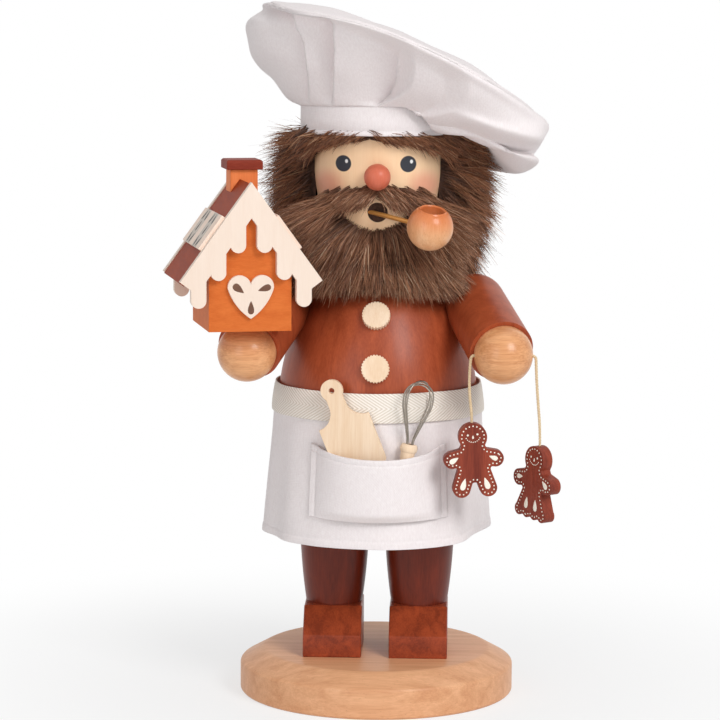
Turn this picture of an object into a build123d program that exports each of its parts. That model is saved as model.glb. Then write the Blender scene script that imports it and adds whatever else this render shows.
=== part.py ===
from build123d import *
import math
import os

# A turned wooden smoking figure: a baker who lifts off a dish that holds an incense cone.
# Millimetres, +Z up, the figure faces -Y, origin at the centre of the foot's underside.

# Clearances
glue_gap = 0.05
soft_gap = 0.3
lift_gap = 0.3

# Foot
base_radius = 53.0
base_edge_height = 11.4
base_height = 16.6
base_top_radius = 43.7
base_edge_break = 0.8
base_dowel_depth = 8.0

# Shoes and legs, measured from each leg's axis
leg_spacing = 33.0
shoe_width = 22.4
shoe_height = 18.2
shoe_toe_reach = 22.0
shoe_instep_reach = 11.4
shoe_heel_reach = 11.2
shoe_toe_height = 8.5
shoe_edge_radius = 0.6
ankle_radius = 10.9
thigh_radius = 13.5
leg_curve_height = 35.0
leg_height = 41.2
leg_tenon_radius = 5.0
leg_tenon_height = 6.0
leg_dowel_radius = 3.0
leg_dowel_depth = 12.0

# Hip disc, cone dish and nail
hip_thickness = 8.0
plug_height = 5.0
vent_radius = 2.5
vent_reach = 22.0
dish_radius = 13.0
dish_rim_radius = 14.6
dish_rim_height = 3.0
dish_thickness = 0.5
nail_radius = 0.8
nail_head_radius = 2.0
nail_head_height = 0.7
nail_length = 6.0

# Torso
torso_radius = 38.6
torso_side_height = 26.0
torso_dome_height = 59.0
torso_top_radius = 15.2
chamber_wall = 7.6
chamber_side_height = 38.0
chamber_height = 73.0
smoke_bore_radius = 5.0

# Head and nose
head_radius = 24.9
head_chin_radius = 10.0
head_jaw_height = 35.0
head_side_height = 14.0
head_crown_height = 8.0
head_top_radius = 16.9
neck_radius = 9.0
neck_length = 9.0
mouth_height = 19.0
mouth_radius = 3.8
nose_height = 32.7
nose_radius = 5.0
nose_proud = 3.6
nose_peg_radius = 1.5
nose_peg_length = 5.0

# Pipe
stem_radius = 0.7
stem_seat = 2.6
stem_tip_rise = 0.8
stem_tip_depth = 4.0
stem_bowl_depth = 4.0
bowl_radius = 8.65
bowl_reach = 20.0
bowl_forward = 17.3
bowl_drop = 4.0
bowl_lip_height = 7.1
bowl_bore_radius = 4.4
bowl_bore_depth = 10.0
bowl_tip_forward = 16.0
bowl_tip_side = 8.0

# Buttons
button_radius = 5.3
button_thickness = 2.2
button_sunk = 0.6
button_heights = {"upper_button": 65.3, "lower_button": 46.3}
button_notches = 28
button_notch_radius = 0.32

# Arms and hands
shoulder_height = 67.5
shoulder_inset = 1.6
shoulder_forward = 6.0
shoulder_radius = 12.0
hand_out = 10.7
hand_forward = 37.0
hand_drop = 14.3
hand_radius = 11.0
wrist_radius = 12.2
wrist_setback = 3.0
peg_radius = 2.2
wrist_peg_length = 16.0
wrist_peg_inset = 3.5
shoulder_peg_length = 14.0
shoulder_peg_inset = 1.0

# Gingerbread house on the right hand
house_turn = 14.0
house_shift = 2.0
house_seat = 1.0
house_peg_forward = 3.0
house_width = 30.6
house_depth = 38.0
house_wall_height = 29.2
roof_pitch = 53.9
roof_thickness = 2.4
roof_reach = 26.3
slab_start = 15.5
slab_end = 30.5
slab_thickness = 1.6
icing_thickness = 3.0
icing_lip = 0.5
icing_drop = 13.0
icing_end_width = 5.0
drip_count = 3
drip_width = 5.6
drip_pitch = 7.3
drip_drop = 19.0
drip_root = 9.0
drip_notch_radius = 0.7
chimney_width = 10.3
chimney_depth = 10.0
chimney_shift = 1.5
chimney_inset = 11.0
chimney_rise = 3.5
cap_width = 13.6
cap_thickness = 3.6
cap_bevel = 0.6
heart_width = 17.0
heart_height = 16.0
heart_foot = 4.8
heart_thickness = 1.6
heart_flank = (6.1, 6.1)
heart_shoulder_height = 11.2
heart_lobe_reach = 4.7
heart_notch_height = 12.8
house_peg_radius = 1.3
house_peg_length = 12.0

# Apron, waistband and pocket
cloth_thickness = 0.7
apron_overlap = 8.0
apron_length = 55.5
apron_ease = 1.0
apron_flare = 3.6
apron_back_gap = 40.0
apron_panels = 18
apron_fold_depth = 1.6
band_lift = 0.5
band_width = 11.0
band_thickness = 0.8
pocket_angle = 2.0
pocket_width = 51.0
pocket_rise = 11.3
pocket_height = 27.7
pocket_top_gap = 8.8
pocket_bottom_gap = 5.0
pocket_edge_gap = 2.5
pocket_seam = 1.2

# Cutting board and whisk in the pocket
board_angle = -8.0
board_shift = -5.6
board_lean = 22.0
board_rise = 9.4
board_width = 20.0
board_length = 20.0
board_thickness = 2.0
board_handle_width = 8.4
board_neck_width = 6.4
board_handle_length = 16.5
board_neck_flare = 6.6
board_hole_radius = 1.1
board_corner_radius = 2.5
whisk_angle = 16.4
whisk_lean = 11.0
whisk_sunk = 2.0
whisk_grip_radius = 3.3
whisk_handle_radius = 2.7
whisk_tip_radius = 2.0
whisk_handle_length = 12.0
whisk_grip_height = 3.2
whisk_socket_depth = 3.0
whisk_wire_radius = 0.3
whisk_wire_foot = 1.25
whisk_length = 25.5
whisk_half_width = 5.0
whisk_loops = 3
whisk_loop_step = 0.75
whisk_loop_turn = 35.0
whisk_wire_bend = 9.0
whisk_wire_straight = 4.6
whisk_cheek = 2.8
whisk_crown_flat = 0.1

# Hair, moustache, beard and hat
hair_opening = 70.0
hair_reach = 42.5
hair_cap_thickness = 4.3
hair_cap_bottom = 42.0
hair_drop = 6.0
beard_reach = 35.5
beard_drop = 12.0
moustache_half_width = 21.3
moustache_thickness = 4.8
moustache_lip = 0.8
moustache_end_rise = 2.0
mouth_bare_width = 29.0
mouth_bare_height = 12.5
hat_band_bottom = 47.5
hat_band_height = 11.5
hat_band_thickness = 0.9
hat_pleats = 12
hat_mid_center = (0.5, 1.0)
hat_mid_radii = (58.0, 37.0)
hat_mid_tilts = (25.0, 18.0)
hat_rim_center = (9.5, 15.5)
hat_rim_radius = 57.0
hat_rim_tilts = (24.0, 11.0)
hat_dome_height = 7.0
hat_dome_steps = ((0.7, 0.74), (1.0, 0.3))
hat_pleat_depth = 2.2
hat_wall = 1.5

# Cookies and their string at the left hand
string_radius = 0.55
string_bend = 0.8
string_out = 1.0
string_forward = 2.0
string_drop = 1.4
string_seat = 3.0
string_straight = 0.35
cookie_thickness = 4.5
man_turn = 6.0
man_roll = 3.0
woman_turn = -52.0
woman_roll = -6.0
cookie_height = 27.8
cookie_head_radius = 5.3
trunk_top = 11.5
trunk_bottom = 17.0
trunk_width = 10.6
arm_root = 11.8
cookie_arm_reach = 8.1
cookie_arm_drop = 1.8
cookie_arm_width = 6.2
cookie_foot_reach = 5.0
cookie_leg_width = 6.6
cookie_skirt_width = 18.0
cookie_nook_radius = 0.8
scallop_count = 4
scallop_radius = 2.4
man_string_steps = ((0, 0), (-0.6, 7.0), (-0.4, 14.0), (0.5, 20.5), (0.5, 26.5))
woman_string_steps = ((0, 0), (0.4, 8.5), (1.1, 17.0), (1.9, 26.0), (1.9, 35.0))

# Radii and reaches worked out from the sizes above
chamber_radius = torso_radius - chamber_wall
shoulder_reach = torso_radius - shoulder_inset
shoulder_peg_reach = shoulder_reach - shoulder_peg_inset
chimney_back = house_depth / 2 - chimney_inset
apron_top_radius = torso_radius + apron_ease
apron_hem_radius = apron_top_radius + apron_flare

# Levels worked out from the sizes above
shoe_top = base_height + shoe_height
hip_bottom = shoe_top + leg_height
torso_bottom = hip_bottom + hip_thickness
dome_start = torso_bottom + torso_side_height
torso_top = dome_start + torso_dome_height
chin = torso_top
mouth_z = chin + mouth_height
nose_z = chin + nose_height
head_top = chin + head_jaw_height + head_side_height + head_crown_height
band_bottom = dome_start + band_lift
band_top = band_bottom + band_width
apron_top = band_bottom + apron_overlap
apron_hem = apron_top - apron_length
hat_seam = chin + hat_band_bottom + hat_band_height


# Radius of an arc that starts upright and moves inwards by shrink over a height
def arc_radius(shrink, height):
    return (shrink**2 + height**2) / (2 * shrink)


# Torso radius at a height on its dome
def torso_radius_at(z):
    bend = arc_radius(torso_radius - torso_top_radius, torso_dome_height)
    return torso_radius - bend + math.sqrt(bend**2 - max(z - dome_start, 0.0) ** 2)


# Head radius at a height on its jaw
def jaw_radius_at(z):
    bend = arc_radius(head_radius - head_chin_radius, head_jaw_height)
    return head_radius - bend + math.sqrt(bend**2 - max(chin + head_jaw_height - z, 0.0) ** 2)


# Outer radius of the apron's cone at a height
def apron_radius_at(z):
    share = (apron_top - z) / apron_length
    return apron_top_radius + share * (apron_hem_radius - apron_top_radius)


# Vertical sketch plane through the figure's axis, at an angle from the front towards +X
def radial_plane(angle):
    turn = math.radians(angle)
    outwards = Vector(math.sin(turn), -math.cos(turn), 0)
    return Plane(origin=(0, 0, 0), x_dir=outwards, z_dir=outwards.cross(Vector(0, 0, 1)))


# Sketch plane that holds a slanted axis: x is across it and y runs along it
def axis_plane(origin, along):
    across = along.cross(Vector(0, 0, 1)).normalized()
    return Plane(origin=origin, x_dir=across, z_dir=across.cross(along))


# Upright plane that faces outwards at an angle from the front: its origin is a reach off the axis
def facing_plane(angle, reach, z):
    turn = math.radians(angle)
    outwards = Vector(math.sin(turn), -math.cos(turn), 0)
    sideways = Vector(math.cos(turn), math.sin(turn), 0)
    return Plane(origin=outwards * reach + Vector(0, 0, z), x_dir=sideways, z_dir=outwards)


# Adds or cuts a round rod in the part that is being built
def rod(start, along, radius, length, mode=Mode.ADD):
    with BuildSketch(Plane(origin=start, z_dir=along)) as section:
        Circle(radius)
    extrude(section.sketch, amount=length, mode=mode)


# Adds a round-ended limb to the sketch that is being drawn
def limb(start, end, width):
    run = Vector(*end) - Vector(*start)
    middle = (Vector(*end) + Vector(*start)) * 0.5
    with Locations((middle.X, middle.Y)):
        SlotCenterToCenter(run.length, width, rotation=math.degrees(math.atan2(run.Y, run.X)))


# Arcs of a closed ring of shallow puffs, as gathered cloth makes; the first puff faces the front
def puffed_ring(radius_x, radius_y, depths):
    step = 2 * math.pi / len(depths)
    arcs = []
    for number, depth in enumerate(depths):
        turns = [(number + share) * step for share in (-0.5, 0, 0.5)]
        reach = [1.0, 1.0 + depth / radius_x, 1.0]
        spots = [(k * radius_x * math.sin(t), -k * radius_y * math.cos(t)) for k, t in zip(reach, turns)]
        arcs.append(Edge.make_three_point_arc(*spots))
    return arcs


# Tube along straight runs joined by arcs that are as large as the runs allow
def make_string(name, points):
    corners = [Vector(*point) for point in points]
    radii = []
    for before, here, after in zip(corners, corners[1:], corners[2:]):
        turn = math.radians((here - before).get_angle(after - here))
        tangent_run = min((here - before).length, (after - here).length) / 2 - string_straight
        radii.append(tangent_run / math.tan(turn / 2))
    with BuildPart() as string:
        with BuildLine() as route:
            FilletPolyline(*corners, radius=radii)
        with BuildSketch(Plane(origin=route.line @ 0, z_dir=route.line % 0)):
            Circle(string_radius)
        sweep(path=route.line)
    expected = math.pi * string_radius**2 * route.wire().length
    share = round(string.part.volume / expected, 4)
    print(name, "radii", [round(r, 1) for r in radii], "volume share", share)
    return string


pieces = {}

# Foot: a turned disc with a wide chamfer, drilled for the shoe dowels
with BuildPart() as base_plate:
    with BuildSketch(Plane.XZ):
        with BuildLine():
            Polyline(
                (0, 0),
                (base_radius - base_edge_break, 0),
                (base_radius, base_edge_break),
                (base_radius, base_edge_height),
                (base_top_radius, base_height),
                (0, base_height),
                close=True,
            )
        make_face()
    revolve(axis=Axis.Z)
    with Locations((-leg_spacing / 2, 0, base_height), (leg_spacing / 2, 0, base_height)):
        Hole(leg_dowel_radius + glue_gap, depth=base_dowel_depth)
pieces["base_plate"] = base_plate


# Wedge shoe with a sloped toe
def make_shoe(side):
    axis_x = side * leg_spacing / 2
    with BuildPart() as shoe:
        with BuildSketch(Plane.YZ.offset(axis_x)):
            with BuildLine():
                Polyline(
                    (-shoe_toe_reach, base_height),
                    (-shoe_toe_reach, base_height + shoe_toe_height),
                    (-shoe_instep_reach, shoe_top),
                    (shoe_heel_reach, shoe_top),
                    (shoe_heel_reach, base_height),
                    close=True,
                )
            make_face()
        extrude(amount=shoe_width / 2, both=True)
        upper_edges = shoe.edges().filter_by(lambda edge: edge.center().Z > base_height + glue_gap)
        fillet(upper_edges, shoe_edge_radius)
        with Locations((axis_x, 0, shoe_top)):
            Hole(leg_dowel_radius + glue_gap)
    return shoe


# Turned leg: narrow at the shoe, upright at the hem, with a tenon into the hip disc
def make_leg(side):
    axis_x = side * leg_spacing / 2
    with BuildPart() as leg:
        with BuildSketch(Plane((axis_x, 0, shoe_top), x_dir=(1, 0, 0), z_dir=(0, -1, 0))):
            with BuildLine():
                TangentArc((thigh_radius, leg_curve_height), (ankle_radius, 0), tangent=(0, -1))
                Polyline(
                    (thigh_radius, leg_curve_height),
                    (thigh_radius, leg_height),
                    (leg_tenon_radius, leg_height),
                    (leg_tenon_radius, leg_height + leg_tenon_height),
                    (0, leg_height + leg_tenon_height),
                    (0, 0),
                    (ankle_radius, 0),
                )
            make_face()
        revolve(axis=Axis((axis_x, 0, 0), (0, 0, 1)))
        rod((axis_x, 0, shoe_top), (0, 0, 1), leg_dowel_radius + glue_gap, leg_dowel_depth, Mode.SUBTRACT)
    return leg


pieces["right_shoe"] = make_shoe(-1)
pieces["left_shoe"] = make_shoe(1)
pieces["right_leg"] = make_leg(-1)
pieces["left_leg"] = make_leg(1)

# Dowels that join foot, shoe and leg
with BuildPart() as shoe_dowels:
    for side in (-1, 1):
        rod(
            (side * leg_spacing / 2, 0, base_height - base_dowel_depth),
            (0, 0, 1),
            leg_dowel_radius,
            base_dowel_depth + shoe_height + leg_dowel_depth,
        )
pieces["shoe_dowels"] = shoe_dowels

# Hip disc: the flange carries the torso, the plug centres it, and two vents feed air to the cone
dish_floor = torso_bottom + plug_height
with BuildPart() as hip_disc:
    with BuildSketch(Plane.XY.offset(hip_bottom)):
        Circle(torso_radius)
    extrude(amount=hip_thickness)
    with BuildSketch(Plane.XY.offset(torso_bottom)):
        Circle(chamber_radius - lift_gap)
    extrude(amount=plug_height)
    with BuildSketch(Plane.XY.offset(hip_bottom)):
        with Locations((-leg_spacing / 2, 0), (leg_spacing / 2, 0)):
            Circle(leg_tenon_radius + glue_gap)
    extrude(amount=leg_tenon_height + glue_gap, mode=Mode.SUBTRACT)
    with Locations((0, -vent_reach, dish_floor), (0, vent_reach, dish_floor)):
        Hole(vent_radius)
    with Locations((0, 0, dish_floor)):
        Hole(nail_radius + glue_gap, depth=nail_length)
pieces["hip_disc"] = hip_disc

# Tin dish for the cone, with a flared rim, and the nail that holds it
with BuildPart() as cone_dish:
    with BuildSketch(Plane.XZ):
        with BuildLine():
            Polyline(
                (nail_radius + glue_gap, dish_floor),
                (dish_radius, dish_floor),
                (dish_rim_radius, dish_floor + dish_rim_height),
                (dish_rim_radius - dish_thickness, dish_floor + dish_rim_height),
                (dish_radius - dish_thickness, dish_floor + dish_thickness),
                (nail_radius + glue_gap, dish_floor + dish_thickness),
                close=True,
            )
        make_face()
    revolve(axis=Axis.Z)
pieces["cone_dish"] = cone_dish

with BuildPart() as dish_nail:
    nail_seat = dish_floor + dish_thickness
    rod((0, 0, nail_seat), (0, 0, 1), nail_head_radius, nail_head_height)
    rod((0, 0, nail_seat), (0, 0, -1), nail_radius, nail_length)
pieces["dish_nail"] = dish_nail


# Shoulder and hand centres of one arm, and the direction from one to the other
def arm_line(side):
    shoulder = Vector(side * shoulder_reach, -shoulder_forward, torso_bottom + shoulder_height)
    hand = shoulder + Vector(side * hand_out, -hand_forward, -hand_drop)
    return shoulder, hand, (hand - shoulder).normalized()


# Torso's outer form, which the arms, buttons and beard are coped to
with BuildPart() as torso_form:
    with BuildSketch(Plane.XZ):
        with BuildLine():
            TangentArc((torso_radius, dome_start), (torso_top_radius, torso_top), tangent=(0, 1))
            Polyline(
                (torso_radius, dome_start),
                (torso_radius, torso_bottom),
                (0, torso_bottom),
                (0, torso_top),
                (torso_top_radius, torso_top),
            )
        make_face()
    revolve(axis=Axis.Z)

# Torso: a hollow bell with the smoke chamber inside and the neck socket on top
chamber_bend = torso_bottom + chamber_side_height
chamber_top = torso_bottom + chamber_height
with BuildPart() as torso:
    add(torso_form.part)
    with BuildSketch(Plane.XZ):
        with BuildLine():
            TangentArc((chamber_radius, chamber_bend), (smoke_bore_radius, chamber_top), tangent=(0, 1))
            Polyline(
                (smoke_bore_radius, chamber_top),
                (0, chamber_top),
                (0, torso_bottom),
                (chamber_radius, torso_bottom),
                (chamber_radius, chamber_bend),
            )
        make_face()
    revolve(axis=Axis.Z, mode=Mode.SUBTRACT)
    rod((0, 0, chamber_bend), (0, 0, 1), smoke_bore_radius, torso_dome_height, Mode.SUBTRACT)
    rod((0, 0, torso_top), (0, 0, -1), neck_radius + glue_gap, neck_length + glue_gap, Mode.SUBTRACT)
    for side in (-1, 1):
        shoulder = arm_line(side)[0]
        peg_start = Vector(side * shoulder_peg_reach, shoulder.Y, shoulder.Z)
        rod(peg_start, (-side, 0, 0), peg_radius + glue_gap, shoulder_peg_length + glue_gap, Mode.SUBTRACT)
pieces["torso"] = torso

# Head's outer form, which the nose, hair, moustache and beard are coped to
jaw_top = chin + head_jaw_height
side_top = jaw_top + head_side_height
with BuildPart() as head_form:
    with BuildSketch(Plane.XZ):
        with BuildLine():
            TangentArc((head_radius, jaw_top), (head_chin_radius, chin), tangent=(0, -1))
            Line((head_radius, jaw_top), (head_radius, side_top))
            TangentArc((head_radius, side_top), (head_top_radius, head_top), tangent=(0, 1))
            Polyline((head_top_radius, head_top), (0, head_top), (0, chin), (head_chin_radius, chin))
        make_face()
    revolve(axis=Axis.Z)

# Stem line of the pipe, from the mouth's inner wall to the bowl
mouth_face = jaw_radius_at(mouth_z)
stem_tip = Vector(-mouth_radius - stem_seat, stem_tip_depth - mouth_face, mouth_z + stem_tip_rise)
bowl_center = Vector(bowl_reach, -mouth_face - bowl_forward, mouth_z - bowl_drop)
stem_along = (bowl_center - stem_tip).normalized()
stem_length = (bowl_center - stem_tip).length - bowl_radius + stem_bowl_depth

# Head: neck tenon, smoke bore up to the open mouth, and the holes for nose and stem
with BuildPart() as head:
    add(head_form.part)
    rod((0, 0, chin), (0, 0, -1), neck_radius, neck_length)
    rod((0, 0, chin - neck_length), (0, 0, 1), smoke_bore_radius, neck_length + mouth_height, Mode.SUBTRACT)
    rod((0, 0, mouth_z), (0, -1, 0), mouth_radius, head_radius, Mode.SUBTRACT)
    rod(stem_tip, stem_along, stem_radius + glue_gap, stem_length, Mode.SUBTRACT)
    nose_hole_floor = (0, -head_radius + nose_peg_length, nose_z)
    rod(nose_hole_floor, (0, -1, 0), nose_peg_radius + glue_gap, nose_peg_length, Mode.SUBTRACT)
pieces["head"] = head

# Nose: a bead coped to the face, on a short peg
with BuildPart() as nose:
    with Locations((0, -head_radius - nose_proud, nose_z)):
        Sphere(nose_radius)
    add(head_form.part, mode=Mode.SUBTRACT)
    peg_length = nose_proud + nose_peg_length - glue_gap
    rod((0, -head_radius - nose_proud, nose_z), (0, 1, 0), nose_peg_radius, peg_length)
pieces["nose"] = nose

# Pipe stem and the bored ball bowl, tipped towards the viewer
with BuildPart() as pipe_stem:
    rod(stem_tip, stem_along, stem_radius, stem_length)
pieces["pipe_stem"] = pipe_stem

bowl_up = Vector(0, 0, 1).rotate(Axis.X, bowl_tip_forward).rotate(Axis.Y, bowl_tip_side)
with BuildPart() as pipe_bowl:
    with Locations(bowl_center):
        Sphere(bowl_radius)
    split(bisect_by=Plane(origin=bowl_center + bowl_up * bowl_lip_height, z_dir=bowl_up), keep=Keep.BOTTOM)
    rod(bowl_center + bowl_up * bowl_lip_height, -bowl_up, bowl_bore_radius, bowl_bore_depth, Mode.SUBTRACT)
    rod(stem_tip, stem_along, stem_radius + glue_gap, stem_length + glue_gap, Mode.SUBTRACT)
pieces["pipe_bowl"] = pipe_bowl


# Disc button with a notched rim, seated square on the torso's front
def make_button(height):
    z = torso_bottom + height
    bend = arc_radius(torso_radius - torso_top_radius, torso_dome_height)
    lift = math.asin((z - dome_start) / bend)
    outwards = Vector(0, -math.cos(lift), math.sin(lift))
    seat = Vector(0, -torso_radius_at(z), z) - outwards * button_sunk
    face = Plane(origin=seat, x_dir=(1, 0, 0), z_dir=outwards)
    with BuildPart() as button:
        with BuildSketch(face):
            Circle(button_radius)
            with PolarLocations(button_radius, button_notches):
                Circle(button_notch_radius, mode=Mode.SUBTRACT)
        extrude(amount=button_sunk + button_thickness)
        add(torso_form.part, mode=Mode.SUBTRACT)
    return button


for name, height in button_heights.items():
    pieces[name] = make_button(height)


# Sleeve: a round shoulder tapering out to the wrist, coped to the torso and cupped for the hand
def make_arm(side):
    shoulder, hand, along = arm_line(side)
    length = (hand - shoulder).length - wrist_setback
    with BuildPart() as arm:
        with BuildSketch(axis_plane(shoulder, along)):
            with BuildLine():
                CenterArc((0, 0), shoulder_radius, -90, 90)
                Polyline((shoulder_radius, 0), (wrist_radius, length), (0, length), (0, -shoulder_radius))
            make_face()
        revolve(axis=Axis(shoulder, along))
        with Locations(hand):
            Sphere(hand_radius + glue_gap, mode=Mode.SUBTRACT)
        add(torso_form.part, mode=Mode.SUBTRACT)
        peg_start = hand - along * wrist_peg_inset
        rod(peg_start, -along, peg_radius + glue_gap, wrist_peg_length + glue_gap, Mode.SUBTRACT)
        inner_end = Vector(side * (shoulder_peg_reach + glue_gap), shoulder.Y, shoulder.Z)
        rod(inner_end, (-side, 0, 0), peg_radius + glue_gap, shoulder_peg_length, Mode.SUBTRACT)
    return arm


pieces["right_arm"] = make_arm(-1)
pieces["left_arm"] = make_arm(1)

with BuildPart() as shoulder_dowels:
    for side in (-1, 1):
        shoulder = arm_line(side)[0]
        peg_start = Vector(side * shoulder_peg_reach, shoulder.Y, shoulder.Z)
        rod(peg_start, (-side, 0, 0), peg_radius, shoulder_peg_length)
pieces["shoulder_dowels"] = shoulder_dowels

with BuildPart() as wrist_dowels:
    for side in (-1, 1):
        shoulder, hand, along = arm_line(side)
        rod(hand - along * wrist_peg_inset, -along, peg_radius, wrist_peg_length)
pieces["wrist_dowels"] = wrist_dowels

# Ball hands: the right one is flattened under the house, the left one is cross-bored for the string
right_hand_center = arm_line(-1)[1]
left_hand_center = arm_line(1)[1]
house_floor = right_hand_center.Z + hand_radius - house_seat


def make_hand(side):
    center, along = arm_line(side)[1:]
    with BuildPart() as hand:
        with Locations(center):
            Sphere(hand_radius)
        peg_start = center - along * (wrist_peg_inset - glue_gap)
        rod(peg_start, -along, peg_radius + glue_gap, hand_radius, Mode.SUBTRACT)
        if side < 0:
            split(bisect_by=Plane.XY.offset(house_floor), keep=Keep.BOTTOM)
            peg_foot = Vector(center.X, center.Y - house_peg_forward, house_floor)
            rod(peg_foot, (0, 0, -1), house_peg_radius + glue_gap, house_peg_length / 2, Mode.SUBTRACT)
        else:
            bore_start = center - Vector(hand_radius, string_forward, 0)
            rod(bore_start, (1, 0, 0), string_radius + glue_gap, 2 * hand_radius, Mode.SUBTRACT)
    return hand


pieces["right_hand"] = make_hand(-1)
pieces["left_hand"] = make_hand(1)

with BuildPart() as house_dowel:
    rod(
        (right_hand_center.X, right_hand_center.Y - house_peg_forward, house_floor - house_peg_length / 2),
        (0, 0, 1),
        house_peg_radius,
        house_peg_length,
    )
pieces["house_dowel"] = house_dowel

# House directions: across its front, and from its front to its back
house_across = Vector(1, 0, 0).rotate(Axis.Z, house_turn)
house_back = Vector(0, 1, 0).rotate(Axis.Z, house_turn)
house_origin = Vector(right_hand_center.X - house_shift, right_hand_center.Y, house_floor)
roof_slope = math.tan(math.radians(roof_pitch))
roof_down = Vector(math.cos(math.radians(roof_pitch)), -math.sin(math.radians(roof_pitch)))
roof_normal = Vector(-roof_down.Y, roof_down.X)
gable_height = house_wall_height + roof_slope * house_width / 2
ridge_height = gable_height + roof_thickness / math.cos(math.radians(roof_pitch))


# Upright plane across the house, a distance back from its middle; its normal points to the front
def house_section(back):
    return Plane(origin=house_origin + house_back * back, x_dir=house_across, z_dir=-house_back)


with BuildPart() as house_body:
    with BuildSketch(house_section(house_depth / 2)):
        with BuildLine():
            Polyline(
                (-house_width / 2, 0),
                (house_width / 2, 0),
                (house_width / 2, house_wall_height),
                (0, gable_height),
                (-house_width / 2, house_wall_height),
                close=True,
            )
        make_face()
    extrude(amount=house_depth)
    add(pieces["right_arm"].part, mode=Mode.SUBTRACT)
    peg_foot = (right_hand_center.X, right_hand_center.Y - house_peg_forward, house_floor)
    rod(peg_foot, (0, 0, 1), house_peg_radius + glue_gap, house_peg_length / 2 + glue_gap, Mode.SUBTRACT)
pieces["house_body"] = house_body


# Roof board from the ridge, where the two are mitred, to its square-cut eave
def make_roof_board(side):
    eave = Vector(roof_reach, ridge_height - roof_slope * roof_reach)
    under = eave - roof_normal * roof_thickness
    with BuildPart() as board:
        with BuildSketch(house_section(house_depth / 2)):
            with BuildLine():
                Polyline(
                    (0, ridge_height),
                    (side * eave.X, eave.Y),
                    (side * under.X, under.Y),
                    (0, gable_height),
                    close=True,
                )
            make_face()
        extrude(amount=house_depth)
    return board


# Pale slab that lies across the middle of one slope
def make_roof_slab(side):
    ridge = Vector(0, ridge_height)
    corners = [
        ridge + roof_down * slab_start,
        ridge + roof_down * slab_end,
        ridge + roof_down * slab_end + roof_normal * slab_thickness,
        ridge + roof_down * slab_start + roof_normal * slab_thickness,
    ]
    with BuildPart() as slab:
        with BuildSketch(house_section(house_depth / 2)):
            with BuildLine():
                Polyline(*[(side * corner.X, corner.Y) for corner in corners], close=True)
            make_face()
        extrude(amount=house_depth)
    return slab


# Half of an icing gable: a band along the slope with round-ended drips below it
def make_icing(side, back):
    top = ridge_height + icing_lip
    end_x = roof_reach - icing_end_width * roof_normal.X
    end_z = top - roof_slope * roof_reach - icing_end_width * roof_normal.Y

    drips = [end_x - drip_width / 2 - number * drip_pitch for number in range(drip_count)]

    def is_notch(corner):
        band_edge = top - icing_drop - roof_slope * abs(corner.X)
        uphill = min(abs(abs(corner.X) - x + drip_width / 2) for x in drips)
        return abs(corner.Y - band_edge) < glue_gap and uphill < glue_gap

    with BuildPart() as icing:
        with BuildSketch(house_section(back)) as gable:
            with BuildLine():
                Polyline(
                    (0, top),
                    (side * roof_reach, top - roof_slope * roof_reach),
                    (side * end_x, end_z),
                    (side * end_x, top - roof_slope * end_x - icing_drop),
                    (0, top - icing_drop),
                    close=True,
                )
            make_face()
            for x in drips:
                tip = top - roof_slope * x - drip_drop + drip_width / 2
                limb((side * x, tip + drip_root), (side * x, tip), drip_width)
            fillet(gable.vertices().filter_by(is_notch), drip_notch_radius)
        extrude(amount=icing_thickness)
        add(pieces["right_arm"].part, mode=Mode.SUBTRACT)
    return icing


for side, name in ((-1, "left"), (1, "right")):
    pieces["roof_board_" + name] = make_roof_board(side)
    pieces["roof_slab_" + name] = make_roof_slab(side)
    pieces["front_icing_" + name] = make_icing(side, -house_depth / 2)
    pieces["rear_icing_" + name] = make_icing(side, house_depth / 2 + icing_thickness)

# Chimney astride the ridge, with its cap
chimney_top = ridge_height + chimney_rise
with BuildPart() as chimney:
    chimney_left = chimney_shift - chimney_width / 2
    chimney_right = chimney_shift + chimney_width / 2
    with BuildSketch(house_section(chimney_back + chimney_depth / 2)):
        with BuildLine():
            Polyline(
                (chimney_left, chimney_top),
                (chimney_left, ridge_height - roof_slope * abs(chimney_left)),
                (0, ridge_height),
                (chimney_right, ridge_height - roof_slope * abs(chimney_right)),
                (chimney_right, chimney_top),
                close=True,
            )
        make_face()
    extrude(amount=chimney_depth)
pieces["chimney"] = chimney

cap_plane = Plane(
    origin=house_section(chimney_back).from_local_coords((chimney_shift, chimney_top)),
    x_dir=house_across,
    z_dir=(0, 0, 1),
)
with BuildPart() as chimney_cap:
    with BuildSketch(cap_plane):
        Rectangle(cap_width, cap_width)
    extrude(amount=cap_thickness)
    chamfer(chimney_cap.faces().sort_by(Axis.Z)[-1].edges(), cap_bevel)
pieces["chimney_cap"] = chimney_cap

# Heart plate on the front wall
with BuildPart() as heart_plate:
    with BuildSketch(house_section(-house_depth / 2)):
        with BuildLine():
            for side in (-1, 1):
                shoulder = (side * heart_width / 2, heart_foot + heart_shoulder_height)
                flank = (side * heart_flank[0], heart_foot + heart_flank[1])
                lobe = (side * heart_lobe_reach, heart_foot + heart_height)
                ThreePointArc((0, heart_foot), flank, shoulder)
                ThreePointArc(shoulder, lobe, (0, heart_foot + heart_notch_height))
        make_face()
    extrude(amount=heart_thickness)
pieces["heart_plate"] = heart_plate

# Space round the house that the hair and beard keep clear of
with BuildPart() as house_room:
    room = soft_gap + icing_lip
    with BuildSketch(house_section(house_depth / 2 + icing_thickness + soft_gap)):
        with BuildLine():
            Polyline(
                (-roof_reach, 0),
                (roof_reach + room, 0),
                (roof_reach + room, ridge_height - roof_slope * roof_reach + slab_thickness + room),
                (0, ridge_height + (slab_thickness + room) * 2),
                (-roof_reach, ridge_height - roof_slope * roof_reach),
                close=True,
            )
        make_face()
    extrude(amount=house_depth + 2 * icing_thickness + 2 * soft_gap)

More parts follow.
